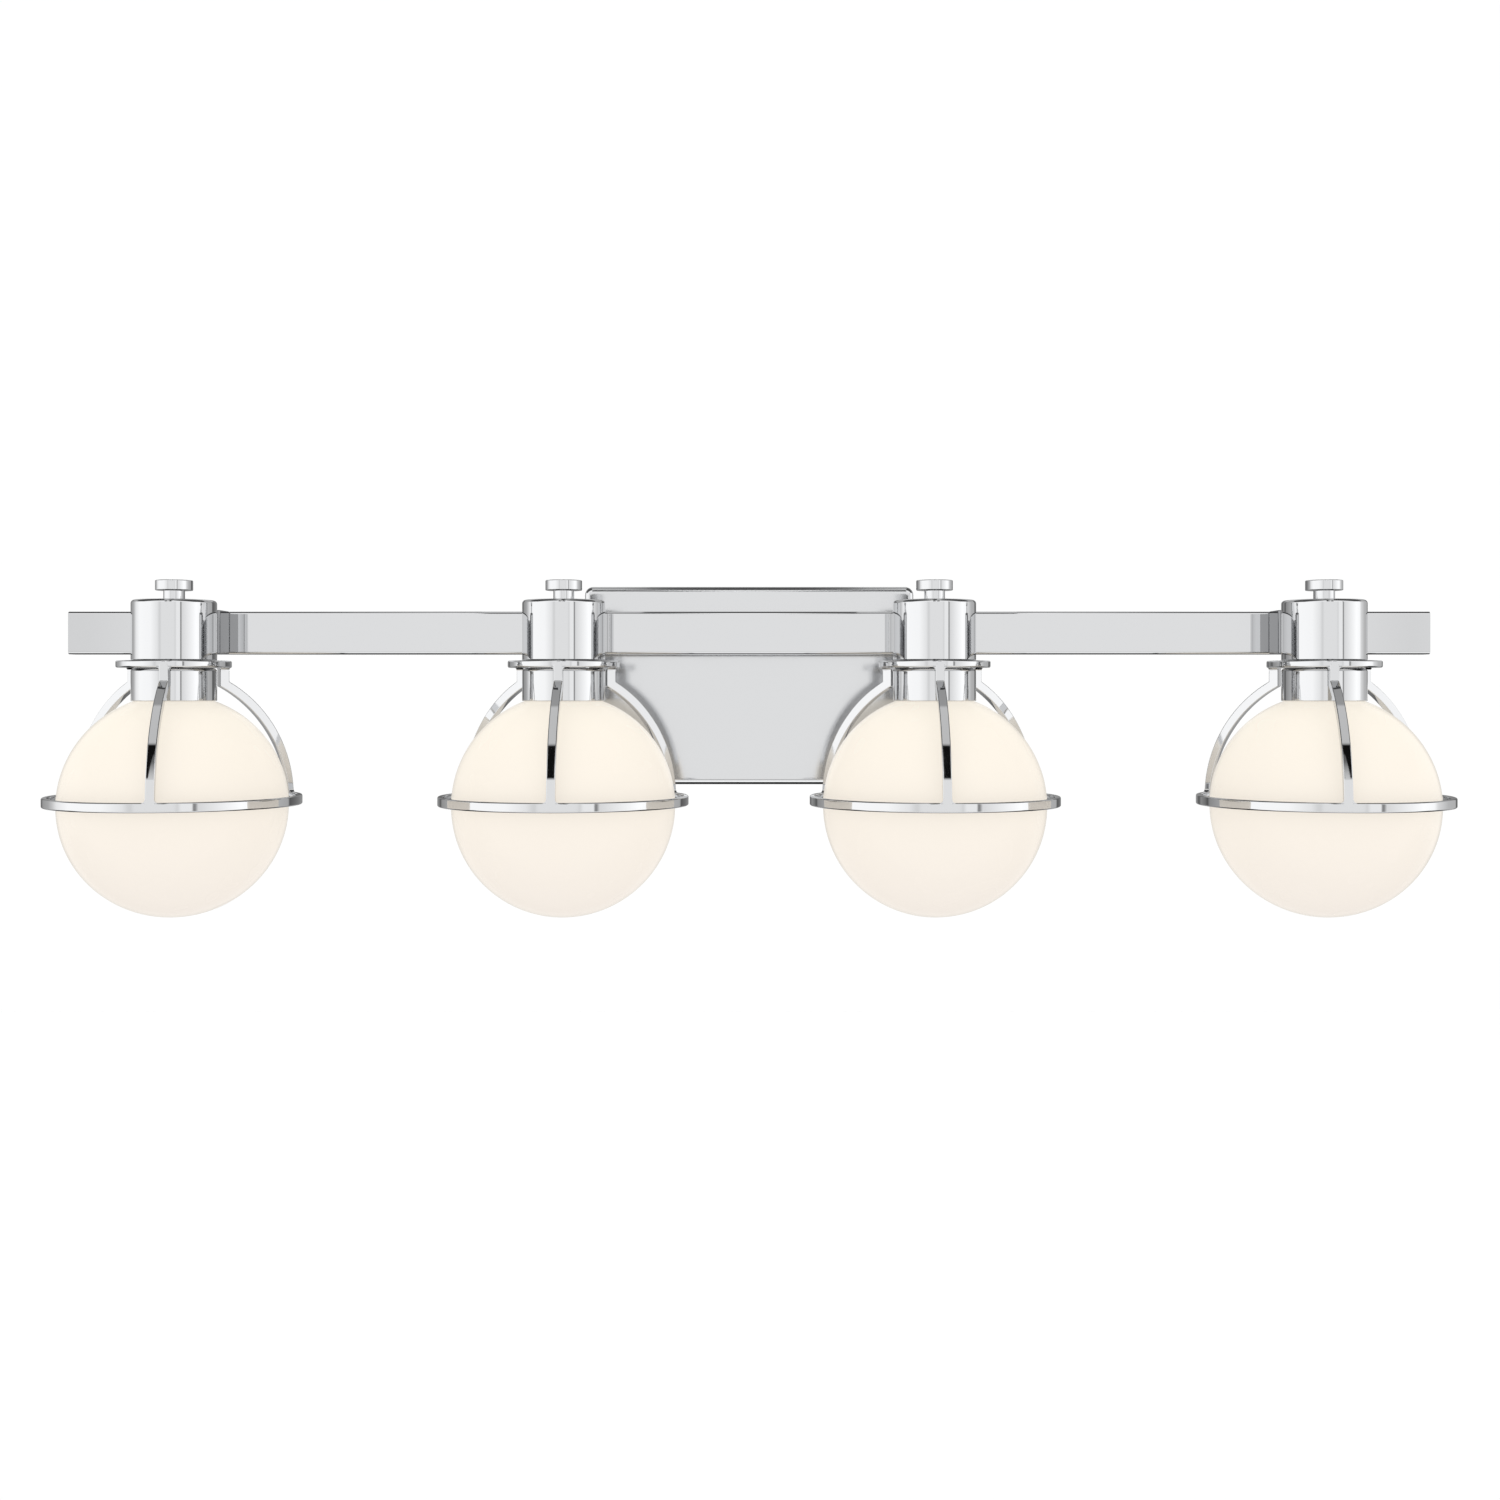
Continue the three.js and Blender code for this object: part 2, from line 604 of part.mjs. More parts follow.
LAMP_XS.forEach((lampX, i) => {
  const number = i + 1;
  const lamp = new THREE.Group();
  lamp.position.set(lampX, LAMP_Y, 0);
  group.add(lamp);
  place(`arm_${number}`, arm(lampX), chrome, lamp);
  place(`socket_cup_${number}`, socketCup(lampX), chrome, lamp);
  place(`finial_${number}`, finial(), chrome, lamp);
  place(`centre_rod_${number}`, centreRod(), zincSteel, lamp);
  place(`cage_${number}`, cage(CAGE_TURNS[i]), chrome, lamp);
  place(`fitter_cup_${number}`, fitterCup(), chrome, lamp);
  place(`socket_${number}`, socket(), porcelain, lamp);
  place(`bulb_${number}`, bulb(), frostedGlass, lamp);
  place(`globe_gasket_${number}`, gasket(), siliconeRubber, lamp);
  place(`globe_${number}`, globe(), opalGlass, lamp);
  place(`lead_${number}`, lead(lampX), leadSleeve);
});

export default group;
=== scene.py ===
"""Looks of the vanity light bar: polished chrome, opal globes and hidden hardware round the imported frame.

Meshes are drawn in millimetres, and `piece` scales each one to metres. Sizes and places come from the
boxes of the CAD nodes, and what a box can't say is a named value here. +Z is up, +X runs along the bar, and
the room is at -Y.
"""
import math
from functools import cache

import bmesh
import bpy
from mathutils import Matrix, Vector


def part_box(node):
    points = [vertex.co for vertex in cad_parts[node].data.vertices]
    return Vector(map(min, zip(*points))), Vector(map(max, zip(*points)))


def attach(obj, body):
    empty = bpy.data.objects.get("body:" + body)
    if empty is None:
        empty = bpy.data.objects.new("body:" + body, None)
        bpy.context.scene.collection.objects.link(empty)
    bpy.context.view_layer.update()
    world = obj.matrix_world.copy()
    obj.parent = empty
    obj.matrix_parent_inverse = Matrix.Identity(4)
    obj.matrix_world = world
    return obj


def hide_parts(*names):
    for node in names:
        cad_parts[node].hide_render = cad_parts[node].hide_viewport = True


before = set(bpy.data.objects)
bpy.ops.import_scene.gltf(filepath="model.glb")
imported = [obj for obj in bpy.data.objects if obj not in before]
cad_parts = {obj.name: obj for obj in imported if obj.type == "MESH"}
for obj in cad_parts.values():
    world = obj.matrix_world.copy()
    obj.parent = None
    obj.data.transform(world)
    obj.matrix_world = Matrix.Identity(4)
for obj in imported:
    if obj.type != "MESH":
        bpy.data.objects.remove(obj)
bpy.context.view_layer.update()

MM = 0.001
GAP = 0.3
SHARP = math.radians(35)
LAMPS = (1, 2, 3, 4)
OUTER_LAMPS = (1, 4)
FLUSH = 0.01
WELD = 0.0001
THROUGH = 5

# ---- sizes that no box gives

# Wall side. Every size is in millimetres, and every hole is given by its radius.
PAN = {"wall": 1.4, "corner": 5, "edge": 3.4, "rim": 0.3, "post_hole": 6.3, "screw_hole": 2.3}
BRACKET = {
    "thick": 1.8, "slot_from": 32, "slot_to": 47.5, "slot_height": 5, "ear_height": 16, "ear_foot": 12,
    "strap_end": 4, "corner": 3, "centre_hole": 3.5, "ground_hole": 2.1, "screw_hole": 2.3, "bend": 0.6,
    "edge": 0.3, "ear_edge": 0.25,
}
PAN_SCREW = {
    "head": 2.2, "shank": 1.85, "root": 1.7, "pitch": 0.7, "ridge": 0.3, "step": 0.1, "recess": 2.1,
    "recess_depth": 1.5, "recess_half": 0.45,
}
GROUND_SCREW = {"head": 2, "shank": 1.7, "washer": 0.6, "hexagon": 0.86, "slot": 0.4, "slot_depth": 0.8}
TERMINAL = {
    "pitch": 8, "entry": 1.9, "edge": 0.8, "screw_hole": 2.3, "screw": 2, "screw_head": 1, "sunk": 1.9,
    "screw_slot": 0.3, "seam": 0.3, "seam_depth": 0.6, "house_pitch": 12.8,
}

# Bar.
TUBE = {"wall": 1.5, "corner": 1.6, "end": 0.25, "inner_corner": 0.3, "plug_edge": 0.2}
POST = {"radius": 8, "neck": 6, "bore": 4.4, "x": 60}
POST_THREAD = {"pitch": 1.0, "ridge": 0.3, "step": 0.12}
NUT = {"flats": 0.86, "chamfer": 1.2, "over": 0.4, "lead_in": 0.7}

# One lamp. Radii are from its axis, and heights that hang on no box are in the shared frame.
SADDLE = {"front": 1.6, "back": 1.2, "edge": 0.45}
CUP = {"wall": 1.5, "roof": 2, "edge": 2, "lip": 0.5, "inside": 1}
FITTER_ROOF = 1.5
ROD_HOLE = 3.4
ROD_THREAD = {"pitch": 1.0, "ridge": 0.3, "end": 0.4, "step": 0.16}
LEAD_HOLE = {"side": 3, "top": 2.6, "behind_rod": 12}
FINIAL = {"stem": 6, "shoulder": 5.4, "bore_depth": 8.2, "edge": 0.4, "top_edge": 0.5, "foot": 0.3}
CAGE = {
    "disc": 32, "disc_thick": 4, "ring": 71.8, "ring_thick": 3.3, "ring_height": 5.6, "rib_width": 5,
    "tab_inner": 26.4, "rib_arc": 78.3, "outer_centre": (-6.5, -66), "inner_centre": (-9.7, -70),
    "edge": 0.9, "rib_edge": 0.5, "fillet": 1.6, "rib_in_ring": 3, "rib_in_disc": 2,
}
TURNS = {1: 7, 2: 0, 3: 0, 4: -7}
GLOBE = {
    "radius": 64.1, "wall": 2.5, "neck_outer": 19.6, "neck_inner": 17.1, "rim": 0.8, "pitch": 3.2,
    "ridge": 1.4, "thread_from": 5.6, "thread_to": 0.6, "step": 0.25,
}
GASKET = {"inner": 19.9, "edge": 0.8}
SOCKET = {
    "body": 10.5, "cap_from": 1.5, "cap_to": 5.5, "boss": 7, "bore": 6.4, "bore_top": -2, "shell": 0.35,
    "shell_from": 1.5, "shell_ridge": 0.12,
}
BULB = {
    "base": 5.3, "base_end": -20.8, "shoulder": -25, "shoulder_round": 3, "pitch": 2.5, "ridge": 0.4,
    "step": 0.25, "flare": 0.3,
}
LEAD = {"radius": 1.4, "bar_y": -58, "pan_y": -9.5, "bend": 4.5, "high": 33.2, "low": 29.2}
GROUND_LEAD = {"radius": 1.2, "bend": 5, "y": -3.6, "turn_z": -8}
IN_TERMINAL, OVER_TERMINAL = 3, 12

# ---- drawing in millimetres


def box(node):
    """Lowest and highest corner of a CAD node, in millimetres."""
    return [Vector(round(value / MM, 3) for value in corner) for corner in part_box(node)]


def centre_of(node):
    """Middle of a CAD node's box."""
    low, high = box(node)
    return (low + high) / 2


def rounded(corners, closed=True, steps=6):
    """Points of an outline whose (x, y, fillet) corners are rounded; an open outline keeps its two ends."""
    points = []
    last = len(corners) - 1
    for i, (x, y, fillet) in enumerate(corners):
        here = Vector((x, y))
        if not fillet or (not closed and i in (0, last)):
            points.append(here)
            continue
        back = (Vector(corners[i - 1][:2]) - here).normalized()
        on = (Vector(corners[0 if i == last else i + 1][:2]) - here).normalized()
        half = back.angle(on) / 2
        centre = here + (back + on).normalized() * (fillet / math.sin(half))
        start = here + back * (fillet / math.tan(half)) - centre
        turn = math.copysign(math.pi - 2 * half, back.x * on.y - back.y * on.x) * -1
        for k in range(steps + 1):
            points.append(centre + Matrix.Rotation(turn * k / steps, 2) @ start)
    return points


def polygon(radius, sides):
    """Corners of a regular polygon, the first on +X."""
    return [(radius * math.cos(2 * math.pi * k / sides), radius * math.sin(2 * math.pi * k / sides))
            for k in range(sides)]


def rounded_rectangle(width, height, fillet, steps=6):
    """A rectangle about the origin with rounded corners."""
    x, y = width / 2, height / 2
    return rounded([(-x, -y, fillet), (x, -y, fillet), (x, y, fillet), (-x, y, fillet)], steps=steps)


def loft(rings, closed=False):
    """A mesh of quads from ring to ring; a ring may be one point, and open ends are capped."""
    mesh = bmesh.new()
    loops = [[mesh.verts.new(point) for point in ring] for ring in rings]
    for here, on in zip(loops, loops[1:] + (loops[:1] if closed else [])):
        count = max(len(here), len(on))
        for i in range(count if count > 1 else 0):
            j = (i + 1) % count
            corners = (here[i % len(here)], here[j % len(here)], on[j % len(on)], on[i % len(on)])
            mesh.faces.new(list(dict.fromkeys(corners)))
    if not closed:
        for end in (loops[0], loops[-1]):
            if len(end) > 2:
                mesh.faces.new(end)
    bmesh.ops.recalc_face_normals(mesh, faces=mesh.faces)
    return mesh


def turned(profile, segments=96, closed=False, ridge=None):
    """A body turned about Z from (radius, z) points. ridge(angle, radius, z) adds to the radius."""
    rings = []
    for radius, z in profile:
        if radius < 1e-6:
            rings.append([(0, 0, z)])
            continue
        ring = []
        for i in range(segments):
            angle = 2 * math.pi * i / segments
            reach = radius + (ridge(angle, radius, z) if ridge else 0)
            ring.append((reach * math.cos(angle), reach * math.sin(angle), z))
        rings.append(ring)
    return loft(rings, closed)


def prism(outline, bottom, top, edge=0.0):
    """An (x, y) outline made solid between two heights, with its hard edges rounded by edge."""
    mesh = loft([[(p[0], p[1], z) for p in outline] for z in (bottom, top)])
    return softened(mesh, edge) if edge else mesh


def block(low, high, edge=0.0):
    """A box between two corners."""
    outline = [(low[0], low[1]), (high[0], low[1]), (high[0], high[1]), (low[0], high[1])]
    return prism(outline, low[2], high[2], edge)


def softened(mesh, radius, segments=4, sharper=math.radians(40)):
    """Hard edges rounded."""
    edges = [e for e in mesh.edges if len(e.link_faces) == 2 and e.calc_face_angle() > sharper]
    bmesh.ops.bevel(mesh, geom=edges, offset=radius, segments=segments, profile=0.5, affect="EDGES",
                    clamp_overlap=True)
    return mesh


def moved(mesh, *matrices):
    """The mesh after each matrix in turn."""
    for matrix in matrices:
        bmesh.ops.transform(mesh, matrix=matrix, verts=mesh.verts)
    return mesh


def shift(x=0, y=0, z=0):
    return Matrix.Translation((x, y, z))


def spin(degrees, axis="Z"):
    return Matrix.Rotation(math.radians(degrees), 4, axis)


Z_TO_FRONT = spin(90, "X")
Z_TO_RIGHT = spin(90, "Y")


def short(value):
    """A length to the nearest micrometre, so that equal parts share one shape."""
    return round(value, 3)


def rod(radius, start, end, segments=32):
    """A plain cutter along one axis, from one point to another."""
    along = Vector(end) - Vector(start)
    turn = Vector((0, 0, 1)).rotation_difference(along).to_matrix().to_4x4()
    return moved(prism(polygon(radius, segments), 0, along.length), turn, shift(*start))


def hole(radius, x=0, y=0, z=0, along="Z", segments=32):
    """A cutter through a wall at a place, along an axis."""
    place, reach = Vector((x, y, z)), Vector([THROUGH * (axis == along) for axis in "XYZ"])
    return rod(radius, place - reach, place + reach, segments)


def thread(pitch, height, low, high, band=(0, math.inf)):
    """A helical ridge for `turned` between two heights, on the profile's points within a band of radii."""
    fade = 0.75 * pitch

    def ridge(angle, radius, z):
        if not band[0] < radius < band[1]:
            return 0
        share = max(0.0, min(1.0, (z - low) / fade, (high - z) / fade))
        return height * share * (0.5 + 0.5 * math.cos(2 * math.pi * z / pitch - angle))

    return ridge


def evenly(start, end, step):
    """Points of a straight profile stretch, close enough together to carry a thread."""
    (r0, z0), (r1, z1) = start, end
    count = max(2, round(math.dist(start, end) / step))
    return [(r0 + (r1 - r0) * i / count, z0 + (z1 - z0) * i / count) for i in range(count + 1)]


# ---- joining, cutting and finishing meshes


def loose_object(name, mesh):
    """The mesh as an object in the scene; the mesh itself is used up."""
    data = bpy.data.meshes.new(name)
    mesh.to_mesh(data)
    mesh.free()
    obj = bpy.data.objects.new(name, data)
    bpy.context.scene.collection.objects.link(obj)
    return obj


def settled(obj):
    """A new mesh of the object with its modifiers worked in."""
    graph = bpy.context.evaluated_depsgraph_get()
    return bpy.data.meshes.new_from_object(
        obj.evaluated_get(graph), preserve_all_data_layers=True, depsgraph=graph)


def combined(mesh, others, operation):
    """One mesh joined with ("UNION"), cut by ("DIFFERENCE") or kept inside ("INTERSECT") the others."""
    solid = loose_object("solid", mesh)
    tools = [loose_object("tool", other) for other in others]
    for tool in tools:
        step = solid.modifiers.new("step", "BOOLEAN")
        step.operation = operation
        step.solver = "EXACT"
        step.object = tool
    result = bmesh.new()
    made = settled(solid)
    result.from_mesh(made)
    for used in [solid, *tools]:
        data = used.data
        bpy.data.objects.remove(used)
        bpy.data.meshes.remove(data)
    bpy.data.meshes.remove(made)
    bmesh.ops.remove_doubles(result, verts=result.verts, dist=WELD)
    bmesh.ops.dissolve_degenerate(result, edges=result.edges, dist=WELD)
    return result


def piece(name, shape, material, slot, body, *nodes, at=(0, 0, 0)):
    """A finished piece in metres, shaded smooth between hard edges, riding on its body for its CAD nodes."""
    mesh = moved(shape.copy(), shift(*at), Matrix.Scale(MM, 4))
    bmesh.ops.recalc_face_normals(mesh, faces=mesh.faces)
    obj = loose_object(name, mesh)
    obj.data.polygons.foreach_set("use_smooth", [True] * len(obj.data.polygons))
    obj.data.set_sharp_from_angle(angle=SHARP)
    weighted = obj.modifiers.new("flat faces stay flat", "WEIGHTED_NORMAL")
    weighted.keep_sharp = True
    rough = obj.data
    obj.data = settled(obj)
    obj.modifiers.clear()
    bpy.data.meshes.remove(rough)
    obj.data.name = name
    obj.data.materials.append(material)
    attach(obj, body)
    if nodes:
        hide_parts(*nodes)


# ---- finishes

# Colours are in linear light, relief is in millimetres, and a grain is in features to the metre.
MIDDLE = (0.35, 0.65)
CHROME_COLOUR = (0.6, 0.605, 0.613)
# The opal glass holds painted light: its colour is painted darker towards the bottom and lighter towards the
# top between the two heights, painted shade darkens its silhouette, and a painted glow stands in for studio
# light seeping through the glass.
OPAL_GLASS = {
    "body": (0.4, 0.37, 0.33), "low": (0.335, 0.3, 0.285), "high": (0.47, 0.43, 0.36),
    "heights": (-0.134, -0.01), "rim": (0.16, 0.15, 0.135), "painted_shade_rim_from": 0.78, "painted_shade_rim_to": 0.96,
    "glow": (1.0, 0.943, 0.853), "painted_glow_strength": 0.566,
}


def join(tree, socket, value):
    """Sets a socket to a value, or links it from another socket."""
    if isinstance(value, bpy.types.NodeSocket):
        tree.links.new(value, socket)
    else:
        socket.default_value = value


def add_node(tree, kind, inputs=None, **settings):
    """A new shader node of a kind, its inputs given by name or place."""
    made = tree.nodes.new("ShaderNode" + kind)
    for name, value in settings.items():
        setattr(made, name, value)
    for name, value in (inputs or {}).items():
        join(tree, made.inputs[name], value)
    return made


def noise(tree, grain, detail=3.0, stretch=(1, 1, 1)):
    """Noise in the object's own metres."""
    place = add_node(tree, "TexCoord").outputs["Object"]
    fit = add_node(tree, "Mapping", {"Vector": place, "Scale": stretch}).outputs["Vector"]
    return add_node(tree, "TexNoise", {"Vector": fit, "Scale": grain, "Detail": detail}).outputs["Fac"]


def spread(tree, value, low, high, middle=MIDDLE):
    """The value's middle range spread from low to high."""
    ends = {"From Min": middle[0], "From Max": middle[1], "To Min": low, "To Max": high}
    return add_node(tree, "MapRange", {"Value": value, **ends}).outputs["Result"]


def blend(tree, value, first, second):
    """A colour that wanders between two colours."""
    made = add_node(tree, "ValToRGB", {"Fac": value})
    for element, place, colour in zip(made.color_ramp.elements, MIDDLE, (first, second)):
        element.position = place
        element.color = (*colour, 1)
    return made.outputs["Color"]


def finish(name, colour, roughness, metallic=0.0, grain=0, rough_detail=3.0, tints=None, tint_grain=0,
           relief=0, relief_noise=(), **sockets):
    """A Principled material. Noise varies its roughness in a range and its colour between two tints."""
    made = bpy.data.materials.new(name)
    made.use_nodes = True
    tree = made.node_tree
    shader = tree.nodes["Principled BSDF"].inputs
    if grain:
        roughness = spread(tree, noise(tree, grain, rough_detail), *roughness)
    look = {"Base Color": (*colour, 1), "Metallic": metallic, "Roughness": roughness}
    if tints:
        look["Base Color"] = blend(tree, noise(tree, tint_grain), *tints)
    if relief:
        height = noise(tree, *relief_noise)
        bump = add_node(tree, "Bump", {"Distance": relief * MM, "Strength": 1.0, "Height": height})
        look["Normal"] = bump.outputs["Normal"]
    look.update((socket.replace("_", " "), value) for socket, value in sockets.items())
    for socket, value in look.items():
        join(tree, shader[socket], value)
    return made


def opal_finish():
    """Etched white glass with a warm cast, painted shade at its bottom and silhouette, and a painted glow for
    seeping light.
    """
    # The emission is a painted glow: no lamp lights the globe, and it stands in for studio light seeping
    # through the glass.
    made = finish(
        "opal_glass", OPAL_GLASS["body"], (0.22, 0.28), grain=60, rough_detail=1.0, relief=0.01,
        relief_noise=(60, 1.0), IOR=1.4, Specular_IOR_Level=0.1, Emission_Color=(*OPAL_GLASS["glow"], 1),
        Emission_Strength=OPAL_GLASS["painted_glow_strength"])
    tree = made.node_tree
    # Painted shade: the glass colour is darker towards the globe's bottom and lighter towards its top.
    place = add_node(tree, "TexCoord").outputs["Object"]
    height = add_node(tree, "SeparateXYZ", {"Vector": place}).outputs["Z"]
    height = spread(tree, height, *MIDDLE, OPAL_GLASS["heights"])
    body = blend(tree, height, OPAL_GLASS["low"], OPAL_GLASS["high"])
    # Painted shade: the colour darkens towards the silhouette, where the glass is seen edge on.
    facing = add_node(tree, "LayerWeight").outputs["Facing"]
    edge = spread(tree, facing, 0.0, 1.0, (OPAL_GLASS["painted_shade_rim_from"], OPAL_GLASS["painted_shade_rim_to"]))
    rim = add_node(tree, "Mix", {"Factor": edge, "A": body, "B": (*OPAL_GLASS["rim"], 1)}, data_type="RGBA")
    join(tree, tree.nodes["Principled BSDF"].inputs["Base Color"], rim.outputs["Result"])
    return made


def plastic_finish(name, colour, roughness, relief=0.03, metallic=0.0):
    """Moulded or painted skin with a fine grain."""
    darker = tuple(0.92 * channel for channel in colour)
    return finish(name, colour, (0.85 * roughness, 1.15 * roughness), metallic, grain=900,
                  tints=(darker, colour), tint_grain=200, relief=relief, relief_noise=(1400,))


# Polished plate: a mirror whose polish varies very slightly.
CHROME = finish("polished_chrome", CHROME_COLOUR, (0.015, 0.045), 1.0, grain=60, relief=0.002,
                relief_noise=(25, 1.0))
# The backplate's chrome is softer than the rest, so that the lamps only blur in it.
PLATE_CHROME = finish("plate_chrome", CHROME_COLOUR, (0.09, 0.11), 1.0, grain=60)
# The arms' chrome is painted darker than the rest: painted shade for the shadow between cup and bar.
PAINTED_SHADE_CHROME = finish("painted_shade_chrome", (0.25, 0.253, 0.26), 0.05, 1.0,
                       tints=((0.24, 0.243, 0.25), (0.26, 0.263, 0.27)), tint_grain=30)
OPAL = opal_finish()
FROSTED = finish("frosted_glass", (0.93, 0.92, 0.89), (0.33, 0.47), grain=900, relief=0.01,
                 relief_noise=(1500,), IOR=1.5, Subsurface_Weight=0.3,
                 Subsurface_Radius=(0.004, 0.004, 0.003))
PORCELAIN = finish("glazed_porcelain", (0.86, 0.84, 0.79), (0.12, 0.22), grain=180,
                   tints=((0.84, 0.82, 0.77), (0.88, 0.86, 0.81)), tint_grain=250, relief=0.02,
                   relief_noise=(400,), Coat_Weight=0.5)
SILICONE = finish("silicone_rubber", (0.72, 0.7, 0.66), (0.5, 0.7), grain=700, relief=0.02,
                  relief_noise=(900,), Subsurface_Weight=0.2, Subsurface_Radius=(0.002, 0.002, 0.002))
# Bright zinc over pressed steel, with rolling marks and faint clouding.
ZINC = finish("zinc_steel", (0.55, 0.56, 0.57), (0.28, 0.45), 1.0, grain=350,
              tints=((0.5, 0.51, 0.52), (0.62, 0.63, 0.62)), tint_grain=120, relief=0.02,
              relief_noise=(300, 4.0, (1, 6, 6)))
BRASS = finish("brass", (0.62, 0.44, 0.16), (0.2, 0.38), 1.0, grain=500,
               tints=((0.56, 0.39, 0.14), (0.68, 0.5, 0.2)), tint_grain=160, relief=0.01,
               relief_noise=(800,))
TERMINAL_PLASTIC = plastic_finish("terminal_plastic", (0.8, 0.78, 0.71), 0.45)
LEAD_SLEEVE = plastic_finish("lead_sleeve", (0.03, 0.03, 0.032), 0.5, 0.05)
GROUND_SLEEVE = plastic_finish("ground_sleeve", (0.03, 0.2, 0.05), 0.5, 0.05)
GREEN_PAINT = plastic_finish("green_screw_paint", (0.05, 0.26, 0.08), 0.35, 0.02, 0.5)

# ---- wall side


def pan(low, high):
    """Shallow pan with rounded edges, open to the wall."""
    width, depth, height = high - low
    wall, edge = PAN["wall"], PAN["edge"]
    flat = edge + 1
    section = rounded([
        (flat, depth, 0), (0, depth, edge), (0, 0, PAN["rim"]), (wall, 0, PAN["rim"]),
        (wall, depth - wall, edge - wall), (flat, depth - wall, 0),
    ], closed=False)
    rings = []
    for inset, out in section:
        outline = rounded_rectangle(width - 2 * inset, height - 2 * inset, PAN["corner"] - min(inset, edge))
        rings.append([(x, high.y - out, z) for x, z in outline])
    return loft(rings)


def backplate():
    """The pan, drilled for the posts and the side screws."""
    low, high = box("backplate")
    height, screw_y = centre_of("bar").z, centre_of("side_screw_right").y
    cuts = []
    for side in (-1, 1):
        cuts.append(hole(PAN["post_hole"], side * POST["x"], low.y, height, "Y", 64))
        cuts.append(hole(PAN["screw_hole"], side * high.x, screw_y, 0, "X"))
    mesh = combined(pan(low, high), cuts, "DIFFERENCE")
    piece("backplate_pan", mesh, PLATE_CHROME, "chrome", "fixture", "backplate")


def wall_bracket():
    """Pressed strap with round-ended slots and an ear bent out at each end."""
    low, high = box("wall_bracket")
    thick, ear, bend = BRACKET["thick"], BRACKET["ear_height"] / 2, BRACKET["bend"]
    strap = rounded_rectangle(high.x - low.x - 2 * BRACKET["strap_end"], high.z - low.z, BRACKET["corner"])
    mesh = moved(prism(strap, 0, thick, BRACKET["edge"]), Z_TO_FRONT)
    parts = []
    for side in (-1, 1):
        end = side * high.x
        inside, foot = end - side * thick, end - side * BRACKET["ear_foot"]
        outline = [
            (end, 0, thick + bend), (end, low.y, 0), (inside, low.y, 0), (inside, -thick, bend),
            (foot, -thick, 0), (foot, 0, 0),
        ]
        parts.append(prism(rounded(outline), -ear, ear, BRACKET["ear_edge"]))
    mesh = combined(mesh, parts, "UNION")
    screw_y, ground = centre_of("side_screw_right").y, centre_of("ground_screw")
    radius = BRACKET["slot_height"] / 2
    cuts = [
        hole(BRACKET["centre_hole"], along="Y", segments=48),
        hole(BRACKET["ground_hole"], ground.x, 0, ground.z, "Y"),
    ]
    for side in (-1, 1):
        middle = side * (BRACKET["slot_from"] + BRACKET["slot_to"]) / 2
        slot = rounded_rectangle(BRACKET["slot_to"] - BRACKET["slot_from"], 2 * radius, radius - FLUSH)
        cuts.append(moved(prism(slot, -THROUGH, THROUGH), Z_TO_FRONT, shift(middle)))
        cuts.append(hole(BRACKET["screw_hole"], side * high.x, screw_y, 0, "X"))
    mesh = combined(mesh, cuts, "DIFFERENCE")
    piece("mounting_strap", mesh, ZINC, "zinc_steel", "fixture", "wall_bracket")


def cross_recess(size, half, depth):
    """Cutter for a cross-slotted head, pointing down from z = 0."""
    arms = [moved(block((-size, -half, -depth), (size, half, 1)), spin(turn)) for turn in (0, 90)]
    return combined(arms[0], arms[1:], "UNION")


def side_screws():
    """Pan-head screws with a modelled thread and a cross recess."""
    for name, side in (("left", -1), ("right", 1)):
        low, high = box(f"side_screw_{name}")
        length, head = high.x - low.x, (high.z - low.z) / 2
        thick, shank, root, ridge = (PAN_SCREW[key] for key in ("head", "shank", "root", "ridge"))
        under = length - thick
        profile = [(0, 0), (shank - ridge, 0), *evenly((root, ridge), (root, under), PAN_SCREW["step"])]
        profile += rounded([
            (shank, under, 0), (head, under, 0.2), (head, length, thick - 0.4), (0, length, 0),
        ], closed=False)
        mesh = turned(profile, 48, ridge=thread(PAN_SCREW["pitch"], ridge, ridge, under, (0, shank)))
        recess = cross_recess(PAN_SCREW["recess"], PAN_SCREW["recess_half"], PAN_SCREW["recess_depth"])
        mesh = combined(mesh, [moved(recess, shift(0, 0, length))], "DIFFERENCE")
        centre, start = centre_of(f"side_screw_{name}"), low.x if side > 0 else high.x
        mesh = moved(mesh, Z_TO_RIGHT if side > 0 else spin(-90, "Y"), shift(start, centre.y, centre.z))
        piece(f"pan_screw_{name}", mesh, CHROME, "chrome", "fixture", f"side_screw_{name}")


def ground_screw():
    """Green hexagon screw with a washer face and a slot."""
    low, high = box("ground_screw")
    centre = (low + high) / 2
    head = (high.x - low.x) / 2
    length = high.y - low.y
    shank, washer, slot = GROUND_SCREW["shank"], GROUND_SCREW["washer"], GROUND_SCREW["slot"]
    under = length - GROUND_SCREW["head"]
    body = turned(rounded([
        (0, 0, 0), (shank, 0, 0), (shank, under, 0), (head, under, 0.15), (head, under + washer, 0.2),
        (0, under + washer, 0),
    ], closed=False), 48)
    hexagon = polygon(GROUND_SCREW["hexagon"] * head, 6)
    mesh = combined(body, [prism(hexagon, under + 0.4, length, 0.2)], "UNION")
    slot_foot = length - GROUND_SCREW["slot_depth"]
    mesh = combined(mesh, [block((-head, -slot, slot_foot), (head, slot, length + 1))], "DIFFERENCE")
    mesh = moved(mesh, Z_TO_FRONT, shift(centre.x, high.y, centre.z))
    piece("earth_screw", mesh, GREEN_PAINT, "green_screw", "fixture", "ground_screw")


